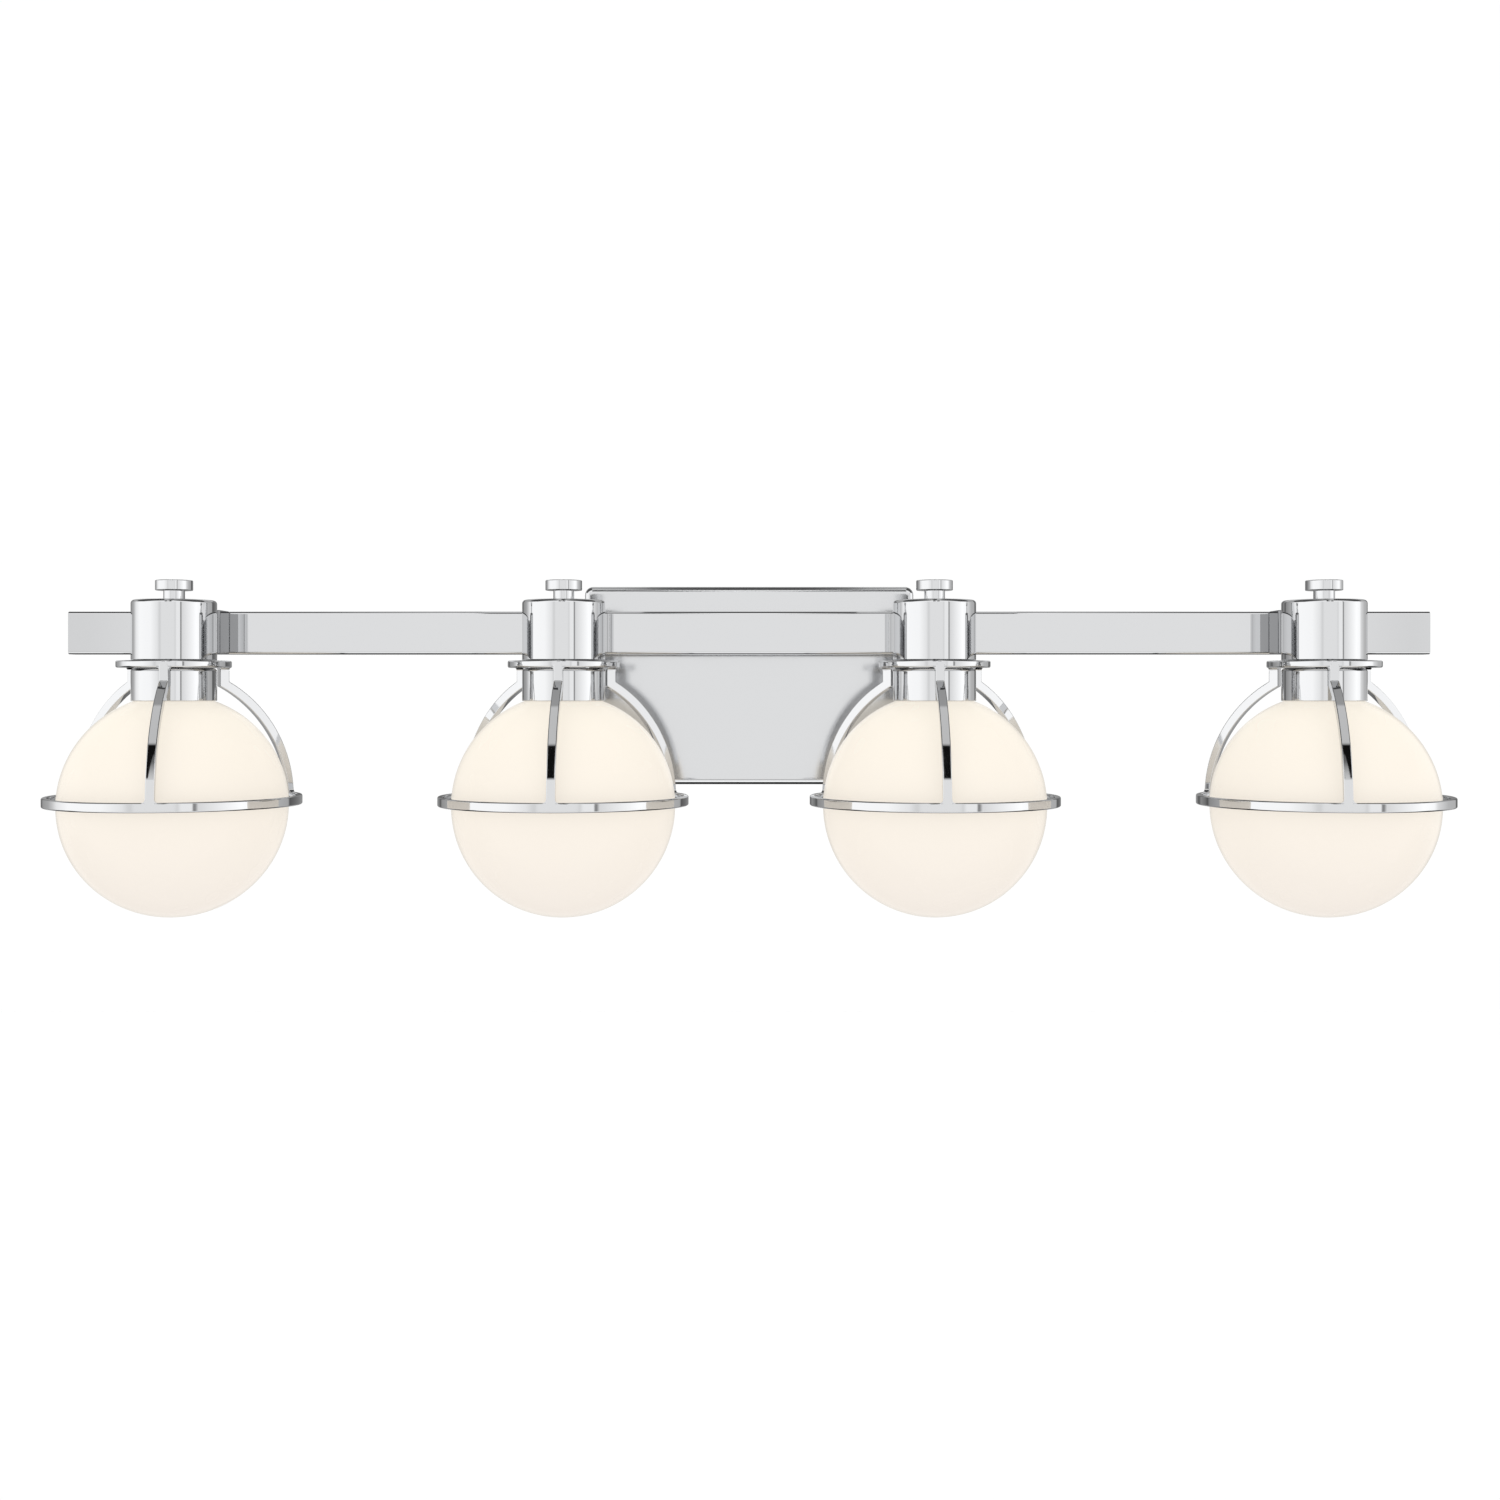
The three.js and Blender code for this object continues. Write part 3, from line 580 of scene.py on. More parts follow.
def terminal_block():
    """Moulded block with an entry for each lead and a clamp screw over each."""
    low, high = box("terminal_block")
    pitch, entry, way = TERMINAL["pitch"], TERMINAL["entry"], LEAD["pan_y"]
    head_radius, head_height, slot = TERMINAL["screw"], TERMINAL["screw_head"], TERMINAL["screw_slot"]
    mesh = block(low, high, TERMINAL["edge"])
    cuts, screws = [], []
    middle = (low.z + high.z) / 2
    for k in range(-2, 3):
        x = k * pitch
        cuts.append(hole(entry, x, way, high.z))
        cuts.append(rod(TERMINAL["screw_hole"], (x, high.y - 2, middle), (x, high.y + 2, middle)))
        head = turned(rounded([
            (0, 0, 0), (head_radius, 0, 0.1), (head_radius, head_height, 0.3), (0, head_height, 0),
        ], closed=False), 32)
        head = combined(head, [block((-3, -slot, 0.4), (3, slot, 2))], "DIFFERENCE")
        screws.append(moved(head, spin(-90, "X"), shift(x, high.y - TERMINAL["sunk"], middle)))
        if k < 2:
            left, right = x + pitch / 2 - TERMINAL["seam"], x + pitch / 2 + TERMINAL["seam"]
            foot = high.y - TERMINAL["seam_depth"]
            cuts.append(block((left, foot, low.z - 1), (right, high.y + 1, high.z + 1)))
    for k in (-1, 0, 1):
        x = k * TERMINAL["house_pitch"]
        cuts.append(block((x - entry, way - entry, low.z - 5), (x + entry, way + entry, low.z + 6)))
    mesh = combined(mesh, cuts, "DIFFERENCE")
    piece("terminal_strip", mesh, TERMINAL_PLASTIC, "terminal_plastic", "fixture", "terminal_block")
    heads = bmesh.new()
    for screw in screws:
        kept = bpy.data.meshes.new("screw")
        screw.to_mesh(kept)
        screw.free()
        heads.from_mesh(kept)
        bpy.data.meshes.remove(kept)
    piece("terminal_clamp_screws", heads, BRASS, "brass", "fixture")


def wire(corners, radius, bend):
    """A round lead along straight runs joined by smooth bends."""
    corners = [Vector(corner) for corner in corners]
    centres = [corners[0]]
    for before, here, after in zip(corners, corners[1:], corners[2:]):
        start = here + (before - here).normalized() * bend
        end = here + (after - here).normalized() * bend
        for k in range(13):
            t = k / 12
            centres.append((1 - t) ** 2 * start + 2 * t * (1 - t) * here + t ** 2 * end)
    centres.append(corners[-1])
    rings = []
    side = (centres[1] - centres[0]).orthogonal().normalized()
    for i, centre in enumerate(centres):
        ahead = centres[min(i + 1, len(centres) - 1)] - centres[max(i - 1, 0)]
        ahead.normalize()
        side = (side - ahead * side.dot(ahead)).normalized()
        other = ahead.cross(side)
        rings.append([centre + radius * (math.cos(a) * side + math.sin(a) * other)
                      for a in (2 * math.pi * k / 16 for k in range(16))])
    return loft(rings)


def ground_lead():
    """Earth lead from under its screw to the middle of the terminal block."""
    start, terminal_top = box("ground_screw")[0].x - GAP, box("terminal_block")[1].z
    y, z = GROUND_LEAD["y"], centre_of("ground_screw").z
    corners = [
        (start, y, z), (0, y, z), (0, LEAD["pan_y"], GROUND_LEAD["turn_z"]),
        (0, LEAD["pan_y"], terminal_top - IN_TERMINAL),
    ]
    shape = wire(corners, GROUND_LEAD["radius"], GROUND_LEAD["bend"])
    piece("earth_lead", shape, GROUND_SLEEVE, "ground_sleeve", "fixture", "ground_lead")


# ---- bar and posts


def bar():
    """Rectangular tube, its ends open for the flush plugs."""
    low, high = box("bar")
    length, depth, height = high - low
    wall, edge = TUBE["wall"], TUBE["end"]
    ends = [(edge, -length / 2), (0, edge - length / 2), (0, length / 2 - edge), (edge, length / 2)]
    rings = []
    for inset, x in ends:
        outline = rounded_rectangle(height - 2 * inset, depth - 2 * inset, TUBE["corner"] - inset, 8)
        rings.append([(x, y, z) for z, y in outline])
    for x in (length / 2, -length / 2):
        outline = rounded_rectangle(height - 2 * wall, depth - 2 * wall, TUBE["inner_corner"], 8)
        rings.append([(x, y, z) for z, y in outline])
    centre = (low + high) / 2
    mesh = moved(loft(rings, closed=True), shift(*centre))
    cuts = []
    for lamp in LAMPS:
        cuts.append(hole(LEAD_HOLE["side"], lamp_axis(lamp).x, low.y, lead_height(lamp), "Y"))
    for side in (-1, 1):
        cuts.append(hole(POST["bore"], side * POST["x"], high.y, centre.z, "Y"))
    piece("bar_tube", combined(mesh, cuts, "DIFFERENCE"), CHROME, "chrome", "fixture", "bar")


def bar_plugs():
    """Flush plugs that close the tube's ends."""
    for name in ("left", "right"):
        low, high = box(f"bar_end_cap_{name}")
        mesh = block(low, high, TUBE["plug_edge"])
        piece(f"bar_plug_{name}", mesh, CHROME, "chrome", "fixture", f"bar_end_cap_{name}")


def posts():
    """Hollow standoffs between pan and bar, with a thread for the nut inside the pan."""
    radius, neck, bore, height = POST["radius"], POST["neck"], POST["bore"], POST_THREAD["ridge"]
    root, shoulder = neck - height, GAP - box("backplate")[0].y
    for name in ("left", "right"):
        low, high = box(f"bar_post_{name}")
        centre = (low + high) / 2
        end, start = -low.y, -high.y
        profile = rounded([
            (bore, end, 0.3), (radius, end, 0.4), (radius, shoulder, 0.5), (neck, shoulder, 0),
        ], closed=False)
        profile += evenly((root, shoulder), (root, start), POST_THREAD["step"])[1:] + [(bore, start)]
        ridge = thread(POST_THREAD["pitch"], height, start + 0.3, shoulder - 0.2, (bore + 0.5, neck))
        mesh = turned(profile, 64, closed=True, ridge=ridge)
        mesh = moved(mesh, Z_TO_FRONT, shift(centre.x, 0, centre.z))
        piece(f"bar_standoff_{name}", mesh, CHROME, "chrome", "fixture", f"bar_post_{name}")


def post_nuts():
    """Hexagon nuts, their corners turned to a chamfer."""
    chamfer, lead_in = NUT["chamfer"], NUT["lead_in"]
    inner, mouth = POST["neck"] + GAP, POST["neck"] + chamfer
    for name in ("left", "right"):
        low, high = box(f"post_nut_{name}")
        centre = (low + high) / 2
        reach, thick = (high.x - low.x) / 2, high.y - low.y
        flats, widest = NUT["flats"] * reach, reach + NUT["over"]
        barrel = [
            (0, 0), (flats, 0), (widest, chamfer), (widest, thick - chamfer), (flats, thick), (0, thick),
        ]
        mesh = combined(prism(polygon(reach, 6), 0, thick), [turned(barrel, 96)], "INTERSECT")
        bore = [
            (0, -1), (mouth, -1), (inner, lead_in), (inner, thick - lead_in), (mouth, thick + 1),
            (0, thick + 1),
        ]
        mesh = combined(mesh, [turned(bore, 64)], "DIFFERENCE")
        mesh = moved(mesh, Z_TO_FRONT, shift(centre.x, high.y, centre.z))
        piece(f"standoff_nut_{name}", mesh, BRASS, "brass", "fixture", f"post_nut_{name}")


# ---- one lamp


def lamp_axis(lamp):
    """Where the lamp's upright axis stands."""
    middle = centre_of(f"socket_cup_{lamp}")
    return Vector((middle.x, middle.y, 0))


def lead_height(lamp):
    """The outer lamps' leads run above the inner lamps' leads in the bar."""
    return LEAD["high"] if lamp in OUTER_LAMPS else LEAD["low"]


@cache
def saddle_shape(half, front, back, reach, bottom, top, lead_z):
    """Block from the bar's face to the round cup, hollowed to the cup's curve."""
    start = math.asin(front / reach)
    arc = [start + (math.pi - 2 * start) * k / 40 for k in range(41)]
    at_front, at_back = SADDLE["front"], SADDLE["back"]
    corners = [
        (half, front, at_front), (half, back, at_back), (-half, back, at_back), (-half, front, at_front),
    ]
    corners += [(-reach * math.cos(a), reach * math.sin(a), 0) for a in arc]
    mesh = prism(rounded(corners), bottom, top, SADDLE["edge"])
    return combined(mesh, [rod(LEAD_HOLE["side"], (0, 0, lead_z), (0, back + 5, lead_z))], "DIFFERENCE")


def lamp_piece(lamp, name, shape, material, slot, *nodes, body=None):
    """A piece drawn about the lamp's axis, on the fixture or on a body of the lamp's own."""
    rides_on = f"{body}_{lamp}" if body else "fixture"
    piece(f"{name}_{lamp}", shape, material, slot, rides_on, *(f"{node}_{lamp}" for node in nodes),
          at=lamp_axis(lamp))


def radius_of(node):
    """Half the width of an upright round node."""
    low, high = box(node)
    return short((high.x - low.x) / 2)


def saddle(lamp):
    """The arm between cup and bar."""
    low, high = box(f"arm_{lamp}")
    axis = lamp_axis(lamp)
    front, back = short(low.y - axis.y), short(high.y - axis.y)
    reach = short(radius_of(f"socket_cup_{lamp}") + GAP)
    shape = saddle_shape(radius_of(f"arm_{lamp}"), front, back, reach, low.z, high.z, lead_height(lamp))
    # The arm wears the darker chrome, which is painted shade.
    lamp_piece(lamp, "saddle_arm", shape, PAINTED_SHADE_CHROME, "chrome", "arm")


@cache
def cup_shape(radius, bottom, top, roof, lead_z=None):
    """Round cup, open below. The lead goes through its side at lead_z, or else through its roof."""
    inner, lip = radius - CUP["wall"], CUP["lip"]
    profile = rounded([
        (0, top - roof, 0), (inner, top - roof, CUP["inside"]), (inner, bottom, lip), (radius, bottom, lip),
        (radius, top, CUP["edge"]), (0, top, 0),
    ], closed=False, steps=10)
    cuts = [hole(ROD_HOLE, z=top)]
    if lead_z is None:
        cuts.append(hole(LEAD_HOLE["top"], 0, LEAD_HOLE["behind_rod"], top))
    else:
        cuts.append(hole(LEAD_HOLE["side"], 0, radius, lead_z, "Y"))
    return combined(turned(profile, 192), cuts, "DIFFERENCE")


def cups(lamp):
    """Deep cup above the cage's disc, and the shallow one below it that holds the globe's neck."""
    for part, name, roof, lead_z in (
        ("socket_cup", "round_cup", CUP["roof"], lead_height(lamp)),
        ("fitter_cup", "glass_fitter", FITTER_ROOF, None),
    ):
        low, high = box(f"{part}_{lamp}")
        shape = cup_shape(radius_of(f"{part}_{lamp}"), low.z, high.z, roof, lead_z)
        lamp_piece(lamp, name, shape, CHROME, "chrome", part)


def finial(lamp):
    """Knob with a flat rim on a short stem, bored for the rod."""
    low, high = box(f"finial_{lamp}")
    disc, stem, foot, edge = radius_of(f"finial_{lamp}"), FINIAL["stem"], FINIAL["foot"], FINIAL["edge"]
    shoulder, bore_top = low.z + FINIAL["shoulder"], low.z + FINIAL["bore_depth"]
    profile = rounded([
        (0, bore_top, 0), (ROD_HOLE, bore_top, 0), (ROD_HOLE, low.z, foot), (stem, low.z, foot),
        (stem, shoulder, edge), (disc, shoulder, edge), (disc, high.z, FINIAL["top_edge"]), (0, high.z, 0),
    ], closed=False)
    lamp_piece(lamp, "finial_knob", turned(profile, 128), CHROME, "chrome", "finial", body="finial")


def centre_rod(lamp):
    """Threaded rod with chamfered ends."""
    low, high = box(f"centre_rod_{lamp}")
    height, end = ROD_THREAD["ridge"], ROD_THREAD["end"]
    root = (high.x - low.x) / 2 - height
    foot, head = low.z + end, high.z - end
    profile = [
        (0, low.z), (root - end, low.z), *evenly((root, foot), (root, head), ROD_THREAD["step"]),
        (root - end, high.z), (0, high.z),
    ]
    shape = turned(profile, 32, ridge=thread(ROD_THREAD["pitch"], height, foot, head))
    lamp_piece(lamp, "threaded_rod", shape, ZINC, "zinc_steel", "centre_rod")


def rib_outline(disc_bottom, ring_outer, ring_top):
    """A rib in radius and height: a tab under the disc, a shoulder, then an arc that tapers to the ring."""
    arc, steps = CAGE["rib_arc"], 36
    (outer_x, outer_z), (inner_x, inner_z) = CAGE["outer_centre"], CAGE["inner_centre"]
    disc, tab = CAGE["disc"] + FLUSH, CAGE["tab_inner"]
    ring_inner = ring_outer - CAGE["ring_thick"]
    shoulder = math.acos((disc - outer_x) / arc)
    inner_start = math.acos((tab - inner_x) / arc)
    outer_end = math.asin((ring_top - outer_z) / arc)
    inner_end = math.asin((ring_top - inner_z) / arc)
    in_disc, in_ring = disc_bottom + CAGE["rib_in_disc"], ring_top - CAGE["rib_in_ring"]
    points = [(tab, in_disc), (disc, in_disc)]
    for k in range(steps + 1):
        angle = shoulder + (outer_end - shoulder) * k / steps
        points.append((outer_x + arc * math.cos(angle) + FLUSH, outer_z + arc * math.sin(angle)))
    points += [(ring_outer + FLUSH, in_ring), (ring_inner + GAP, in_ring)]
    for k in range(steps + 1):
        angle = inner_end + (inner_start - inner_end) * k / steps
        points.append((inner_x + arc * math.cos(angle), inner_z + arc * math.sin(angle)))
    return points


def fillet_wedge(inner, outer, half_width, z, up, side):
    """Braze fillet beside a rib, where it meets the disc (up) or the ring (down)."""
    radius, root = CAGE["fillet"], -0.3
    outline = [(root, root), (radius, root), (radius, 0)]
    outline += [(radius - radius * math.sin(a), radius - radius * math.cos(a))
                for a in (math.pi / 2 * k / 8 for k in range(1, 9))]
    outline += [(root, radius)]
    points = [(side * (half_width + u), z - up * v) for u, v in outline]
    radial_first = Matrix(((0, 0, 1, 0), (1, 0, 0, 0), (0, 1, 0, 0), (0, 0, 0, 1)))
    return moved(prism(points, inner, outer), radial_first)


@cache
def brazed_cage(outer, bottom, top):
    """Top disc, three tapering ribs and the flat band round the globe, in one."""
    ring_top = bottom + CAGE["ring_height"]
    disc_bottom = top - CAGE["disc_thick"]
    edge, half = CAGE["edge"], CAGE["rib_width"] / 2
    inner = outer - CAGE["ring_thick"]
    disc = turned(rounded([
        (0, disc_bottom, 0), (CAGE["disc"], disc_bottom, edge), (CAGE["disc"], top, edge), (0, top, 0),
    ], closed=False, steps=5), 192)
    ring = turned(rounded([
        (inner, bottom, edge), (outer, bottom, edge), (outer, ring_top, edge), (inner, ring_top, edge),
    ], steps=5), 256, closed=True)
    parts = [ring]
    for k in range(3):
        face = spin(120 * k - 90)
        rib = prism(rib_outline(disc_bottom, outer, ring_top), -half, half, CAGE["rib_edge"])
        parts.append(moved(rib, Z_TO_FRONT, face))
        for side in (-1, 1):
            at_ring = fillet_wedge(inner + 0.5, outer - 0.1, half, ring_top, -1, side)
            at_disc = fillet_wedge(CAGE["tab_inner"] + 0.2, CAGE["disc"] - 0.1, half, disc_bottom, 1, side)
            parts += [moved(at_ring, face), moved(at_disc, face)]
    return combined(disc, parts, "UNION")


@cache
def cage_shape(outer, bottom, top, turn):
    """The cage turned about its lamp's axis, then drilled for the rod and the lead."""
    mesh = moved(brazed_cage(outer, bottom, top).copy(), spin(turn))
    cuts = [hole(ROD_HOLE, z=top), hole(LEAD_HOLE["top"], 0, LEAD_HOLE["behind_rod"], top)]
    return combined(mesh, cuts, "DIFFERENCE")


def cage(lamp):
    """The lamp's cage, at its own turn."""
    low, high = box(f"cage_{lamp}")
    shape = cage_shape(CAGE["ring"], low.z, high.z, TURNS[lamp])
    lamp_piece(lamp, "globe_cage", shape, CHROME, "chrome", "cage")


@cache
def lampholder_shape(bottom, top, cap):
    """Glazed holder, bored for the screw shell below and the centre rod above."""
    body, bore, boss = SOCKET["body"], SOCKET["bore"] + 0.01, SOCKET["boss"]
    cap_from, cap_to, bore_top = SOCKET["cap_from"], SOCKET["cap_to"], SOCKET["bore_top"]
    profile = rounded([
        (0, bore_top, 0), (bore, bore_top, 0.3), (bore, bottom, 0.5), (body, bottom, 1), (body, cap_from, 1),
        (cap, cap_from, 0.8), (cap, cap_to, 0.8), (boss, cap_to, 0.6), (boss, top, 0.6), (0, top, 0),
    ], closed=False)
    return combined(turned(profile, 96), [rod(ROD_HOLE, (0, 0, 2), (0, 0, 12))], "DIFFERENCE")


def lampholder(lamp):
    """Porcelain holder with a brass screw shell pressed into its bore."""
    low, high = box(f"socket_{lamp}")
    shape = lampholder_shape(low.z, high.z, radius_of(f"socket_{lamp}"))
    lamp_piece(lamp, "lampholder", shape, PORCELAIN, "porcelain", "socket")
    outer, inner = SOCKET["bore"] - 0.05, SOCKET["bore"] - SOCKET["shell"]
    shell_top, shell_bottom = SOCKET["bore_top"] - 0.4, low.z + SOCKET["shell_from"]
    inside = evenly((inner, shell_bottom), (inner, shell_top), BULB["step"])
    outside = [(outer, shell_top), (outer, shell_bottom)]
    band = (inner - 0.05, inner + 0.15)
    ridge = thread(BULB["pitch"], SOCKET["shell_ridge"], shell_bottom, shell_top, band)
    shell = turned(inside + outside, 96, closed=True, ridge=ridge)
    lamp_piece(lamp, "screw_shell", shell, BRASS, "brass")


def bulb(lamp):
    """Frosted tube on a small screw base."""
    low, high = box(f"bulb_{lamp}")
    glass = (high.x - low.x) / 2
    base, base_end, flare = BULB["base"], BULB["base_end"], BULB["flare"]
    stem = base - 0.6
    tube = rounded([
        (0, base_end + 1, 0), (stem, base_end + 1, 0), (stem, base_end, 0.5),
        (glass, BULB["shoulder"], BULB["shoulder_round"]), (glass, low.z, glass - 0.3), (0, low.z, 0),
    ], closed=False, steps=12)
    lamp_piece(lamp, "bulb_glass", turned(tube, 96), FROSTED, "frosted_glass", "bulb", body="bulb")
    contact = high.z
    profile = [(0, contact), (2, contact), (2.6, contact - 0.5), (2.6, contact - 1.2), (4, contact - 1.8)]
    profile += [(base, contact - 2.8), *evenly((base, contact - 3), (base, base_end + 0.6), BULB["step"])]
    profile += [
        (base + flare, base_end + 0.4), (base + flare, base_end), (base - flare, base_end - 0.2),
        (0, base_end - 0.2),
    ]
    ridge = thread(BULB["pitch"], BULB["ridge"], base_end + 0.8, contact - 3, (base - 0.1, base + 0.1))
    lamp_piece(lamp, "bulb_base", turned(profile, 96, ridge=ridge), BRASS, "brass", body="bulb")


def globe(lamp):
    """Hollow opal ball with an open neck, whose short round thread screws into the fitter."""
    low, high = box(f"globe_{lamp}")
    radius, wall, rim = GLOBE["radius"], GLOBE["wall"], GLOBE["rim"]
    centre = low.z + radius
    neck, bore, top = GLOBE["neck_outer"], GLOBE["neck_inner"], high.z
    neck_foot = centre + math.sqrt(radius ** 2 - neck ** 2)
    outer_start, inner_start = math.acos(neck / radius), math.acos(bore / (radius - wall))
    steps = 72
    outer = [outer_start - (outer_start + math.pi / 2) * k / steps for k in range(1, steps)]
    inner = [-math.pi / 2 + (inner_start + math.pi / 2) * k / steps for k in range(1, steps + 1)]
    profile = rounded([(bore, centre, 0), (bore, top, rim), (neck, top, rim), (neck, centre, 0)], False)[1:-1]
    profile += evenly((neck, top - 1), (neck, neck_foot), GLOBE["step"])
    profile += [(radius * math.cos(a), centre + radius * math.sin(a)) for a in outer]
    profile += [(0, low.z), (0, low.z + wall)]
    profile += [((radius - wall) * math.cos(a), centre + (radius - wall) * math.sin(a)) for a in inner]
    thread_from, thread_to = top - GLOBE["thread_from"], top - GLOBE["thread_to"]
    ridge = thread(GLOBE["pitch"], GLOBE["ridge"], thread_from, thread_to, (neck - 0.1, neck + 0.1))
    shape = turned(profile, 160, closed=True, ridge=ridge)
    lamp_piece(lamp, "opal_globe", shape, OPAL, "opal_glass", "globe", body="globe")


def gasket(lamp):
    """Soft ring round the globe's neck."""
    low, high = box(f"globe_gasket_{lamp}")
    outer, inner, edge = (high.x - low.x) / 2, GASKET["inner"], GASKET["edge"]
    profile = rounded([
        (inner, low.z, edge), (outer, low.z, edge), (outer, high.z, edge), (inner, high.z, edge),
    ])
    shape = turned(profile, 128, closed=True)
    lamp_piece(lamp, "shoulder_gasket", shape, SILICONE, "silicone_rubber", "globe_gasket",
               body="globe_gasket")


def lead(lamp):
    """Lead from the lampholder up into the cup, along the bar, through a post and down to its terminal."""
    axis = lamp_axis(lamp)
    side = math.copysign(1, axis.x)
    z = lead_height(lamp)
    terminal_x = side * TERMINAL["pitch"] * (1 if lamp in OUTER_LAMPS else 2)
    terminal_top = box("terminal_block")[1].z
    behind = axis.y + LEAD_HOLE["behind_rod"]
    corners = [
        (axis.x, behind, SOCKET["cap_to"] + GAP), (axis.x, behind, z), (axis.x, LEAD["bar_y"], z),
        (side * POST["x"], LEAD["bar_y"], z), (side * POST["x"], LEAD["pan_y"], z),
        (terminal_x, LEAD["pan_y"], terminal_top + OVER_TERMINAL),
        (terminal_x, LEAD["pan_y"], terminal_top - IN_TERMINAL),
    ]
    shape = wire(corners, LEAD["radius"], LEAD["bend"])
    piece(f"lamp_lead_{lamp}", shape, LEAD_SLEEVE, "lead_sleeve", "fixture", f"lead_{lamp}")


# ---- studio

# Shades of the studio as polished chrome shows it, from 0 (black) to 1 (white), by angle in degrees.
# By bearing from straight in front, positive towards +X: pale in front, white panels at the sides, a thin
# stand to the right, and dark gaps behind.
HORIZON = [
    (-180, 0.5), (-168, 0.3), (-160, 0.5), (-149, 0.42), (-144, 0.3), (-140, 0.52), (-121, 0.62),
    (-112, 0.74), (-104, 0.88), (-97, 0.92), (-86, 0.97), (-48, 0.96), (-28, 0.885), (-22, 0.81),
    (-20, 0.81), (-18, 0.85), (-16, 0.862), (15, 0.862), (18, 0.85), (20, 0.81), (23, 0.9), (33, 0.9),
    (33.8, 0.5), (36.2, 0.5), (37, 0.83), (78, 1.0), (92, 0.97), (98, 0.83), (117, 0.68), (139, 0.62),
    (142, 0.33), (180, 0.5),
]
# By pitch round the bar's direction, from straight in front up over the top to the wall. Below: a grey
# bench edge, a white sweep and a dark floor.
BELOW = [
    (-180, 0.6), (-150, 0.55), (-134, 0.2), (-130, 0.08), (-75, 0.08), (-66, 0.95), (-34, 1.0), (-31, 0.67),
    (-15, 0.67), (-12, 0.86), (3, 0.87),
]
BEHIND = [(124, 0.55), (130, 0.8), (150, 0.8), (158, 0.35), (170, 0.4), (180, 0.6)]
# Above: a dark canopy that shows a grey ceiling in two places, past a black flag.
CANOPY = BELOW + [(6, 0.9), (19, 0.95), (46, 0.87), (51, 0.3), (124, 0.28), (130, 0.6), (180, 0.6)]
CEILING = BELOW + [
    (6, 0.9), (19, 0.92), (20.5, 0.09), (48, 0.09), (50, 0.72), (86, 0.73), (88.5, 0.57),
] + BEHIND
SLOT = BELOW + [
    (11, 0.86), (19, 0.78), (24, 0.7), (29, 0.57), (34, 0.38), (39, 0.35), (41, 0.09), (48, 0.09),
    (50, 0.72), (86, 0.73), (88.5, 0.57),
] + BEHIND
# How far aside, or above and below the horizon, each is seen. A slanted edge follows the pitch.
CEILING_REACH = (4.95, 8.2)
SLANT, SLANTED_REACH = 0.11, (-1.4, 3.4)
SLOT_REACH = (3.3, 4.95)
HORIZON_REACH = (-14, 19)
# The share of light that chrome gives back, and the white that matt surfaces and the camera get.
CHROME_LOSS = 0.605
BACKDROP = 1.01
DISPLAY_GAMMA = 2.2
FLOOR = {"reach": 4000, "top": -900, "thick": 5, "shade": 0.9, "glow": 0.12}
CAMERA = {"lens": 44.4, "sensor": 36, "shift_up": -0.04, "distance": 1065, "height": -2.7, "right": 0.5}


def ramp(tree, angle, stops):
    """A colour ramp over a full turn in degrees, its shades turned to linear light."""
    turn = add_node(tree, "MapRange", {"From Min": -math.pi, "From Max": math.pi, "Value": angle})
    made = add_node(tree, "ValToRGB", {"Fac": turn.outputs["Result"]})
    elements = made.color_ramp.elements
    while len(elements) < len(stops):
        elements.new(0.5)
    for element, (degrees, shade) in zip(elements, stops):
        element.position = (degrees + 180) / 360
        element.color = (*[shade ** DISPLAY_GAMMA] * 3, 1)
    return made.outputs["Color"]


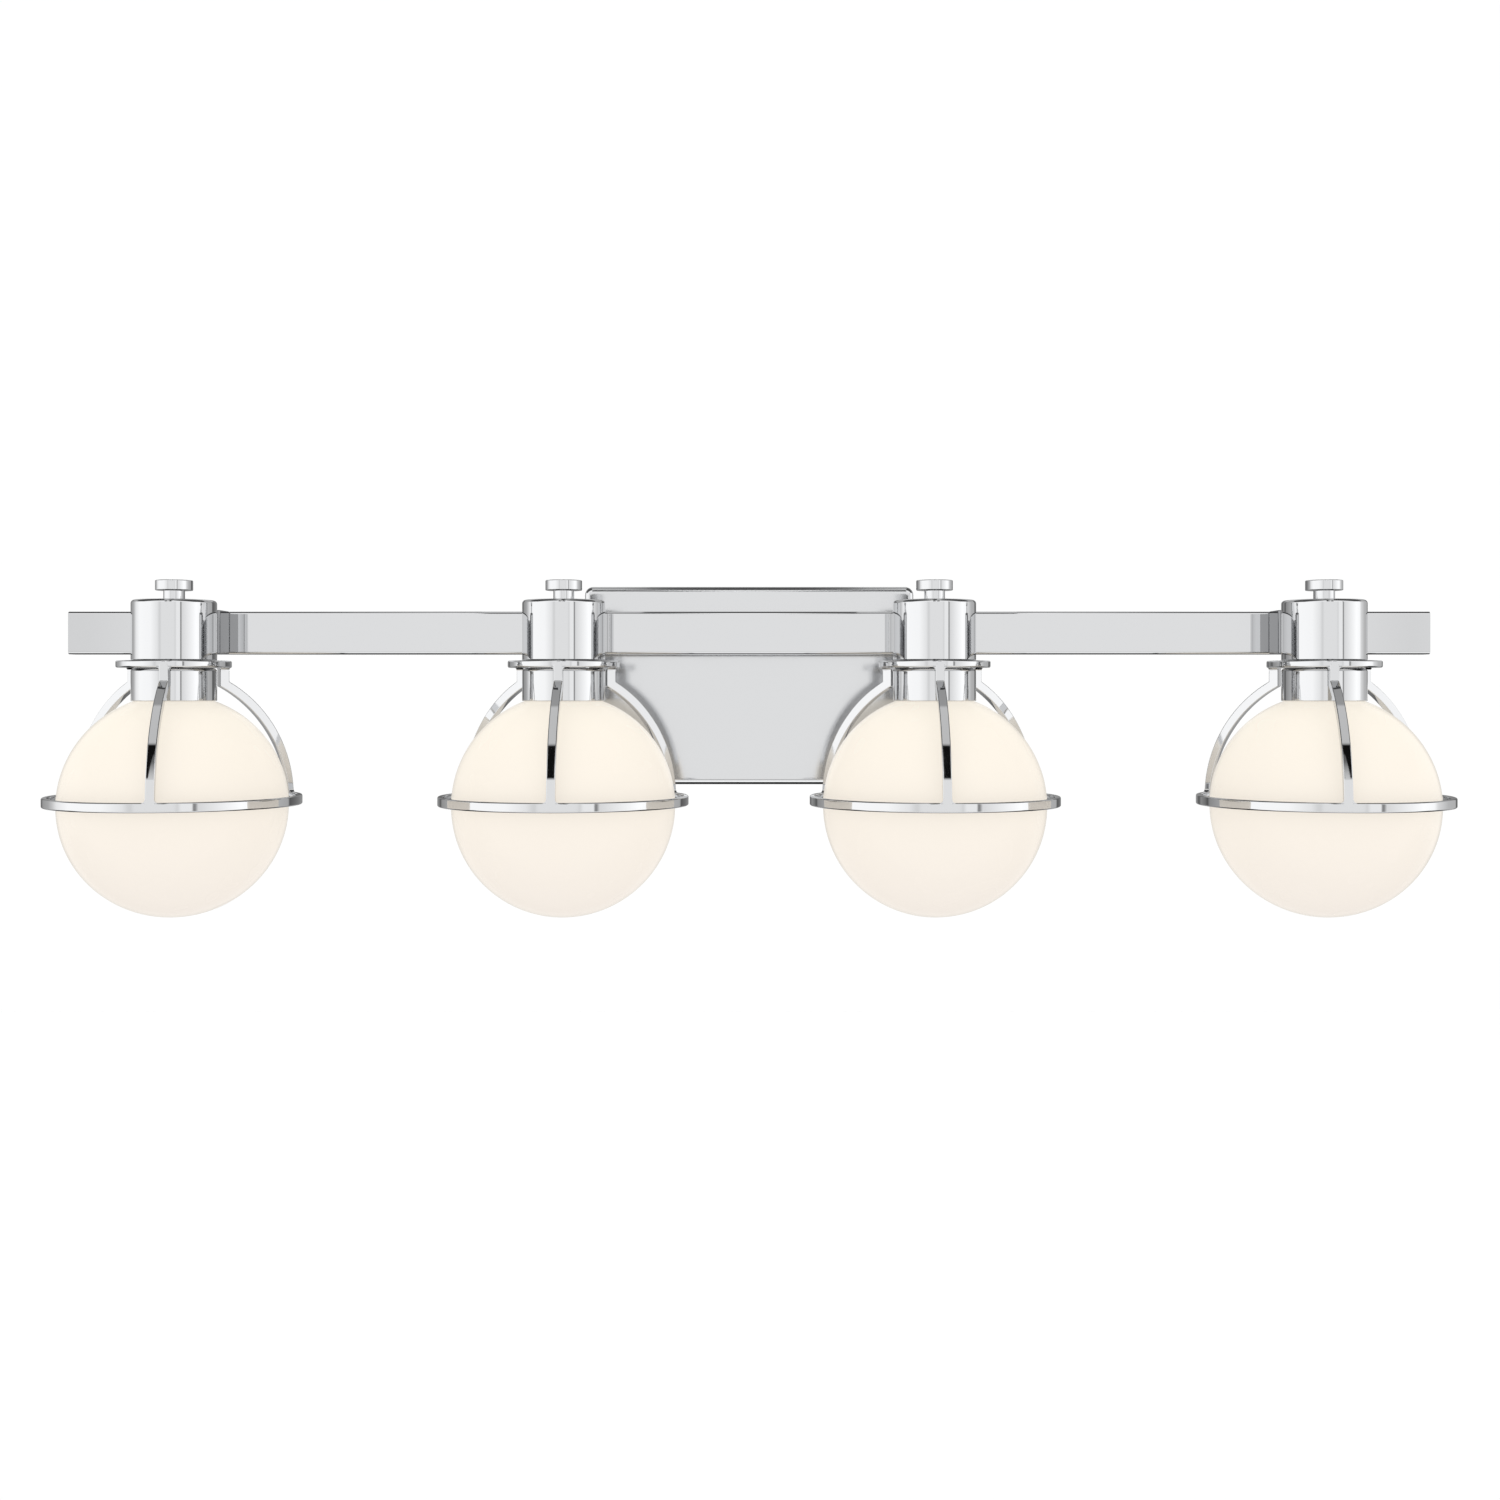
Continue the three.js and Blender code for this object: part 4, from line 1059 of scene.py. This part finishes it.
def studio_light():
    """White all round for matt surfaces and the camera, and the studio's panels for mirrors."""
    world = bpy.data.worlds.new("studio")
    bpy.context.scene.world = world
    world.use_nodes = True
    tree = world.node_tree

    def calculate(operation, *values):
        return add_node(tree, "Math", dict(enumerate(values)), operation=operation).outputs[0]

    def between(angle, low, high):
        above = calculate("GREATER_THAN", angle, math.radians(low))
        return calculate("MULTIPLY", above, calculate("LESS_THAN", angle, math.radians(high)))

    def chosen(test, otherwise, then):
        mix = add_node(tree, "Mix", {"Factor": test, "A": otherwise, "B": then}, data_type="RGBA")
        return mix.outputs["Result"]

    place = add_node(tree, "TexCoord").outputs["Generated"]
    x, y, z = add_node(tree, "SeparateXYZ", {"Vector": place}).outputs
    forward = calculate("MULTIPLY", y, -1)
    bearing = calculate("ARCTAN2", x, forward)
    pitch = calculate("ARCTAN2", z, forward)
    aside = calculate("ABSOLUTE", calculate("ARCSINE", x))
    near_horizon = between(calculate("ARCSINE", z), *HORIZON_REACH)
    slanted = calculate("SUBTRACT", aside, calculate("MULTIPLY", pitch, SLANT))
    under_ceiling = calculate("MAXIMUM", between(aside, *CEILING_REACH), between(slanted, *SLANTED_REACH))
    shade = chosen(under_ceiling, ramp(tree, pitch, CANOPY), ramp(tree, pitch, CEILING))
    shade = chosen(between(aside, *SLOT_REACH), shade, ramp(tree, pitch, SLOT))
    shade = chosen(near_horizon, shade, ramp(tree, bearing, HORIZON))
    panels = add_node(tree, "Background", {"Color": shade, "Strength": 1 / CHROME_LOSS})
    backdrop = tree.nodes["Background"]
    join(tree, backdrop.inputs["Color"], (1, 1, 1, 1))
    join(tree, backdrop.inputs["Strength"], BACKDROP)
    mirrored = add_node(tree, "LightPath").outputs["Is Glossy Ray"]
    light = add_node(tree, "MixShader", {"Fac": mirrored, 1: backdrop.outputs[0], 2: panels.outputs[0]})
    join(tree, tree.nodes["World Output"].inputs["Surface"], light.outputs[0])


def floor():
    """Pale floor far below the light, out of the chrome's reflections."""
    reach, top = FLOOR["reach"], FLOOR["top"]
    mesh = block((-reach, -reach, top - FLOOR["thick"]), (reach, reach, top))
    obj = loose_object("floor", moved(mesh, Matrix.Scale(MM, 4)))
    paint = finish("pale_floor", [FLOOR["shade"]] * 3, 0.9, Emission_Color=(1, 1, 1, 1),
                   Emission_Strength=FLOOR["glow"])
    obj.data.materials.append(paint)
    obj.visible_glossy = False


def camera():
    """Level camera in front of the lamps."""
    data = bpy.data.cameras.new("camera")
    data.lens, data.sensor_width, data.shift_y = CAMERA["lens"], CAMERA["sensor"], CAMERA["shift_up"]
    obj = bpy.data.objects.new("camera", data)
    bpy.context.scene.collection.objects.link(obj)
    front = lamp_axis(LAMPS[0]).y - CAMERA["distance"]
    obj.location = Vector((CAMERA["right"], front, CAMERA["height"])) * MM
    obj.rotation_euler = (math.pi / 2, 0, 0)
    bpy.context.scene.camera = obj


# ---- assembly

camera()
studio_light()
floor()
bpy.context.scene.view_settings.view_transform = "Standard"

backplate()
wall_bracket()
side_screws()
ground_screw()
terminal_block()
ground_lead()
bar()
bar_plugs()
posts()
post_nuts()
for lamp in LAMPS:
    for make in (saddle, cups, finial, centre_rod, cage, lampholder, bulb, globe, gasket, lead):
        make(lamp)
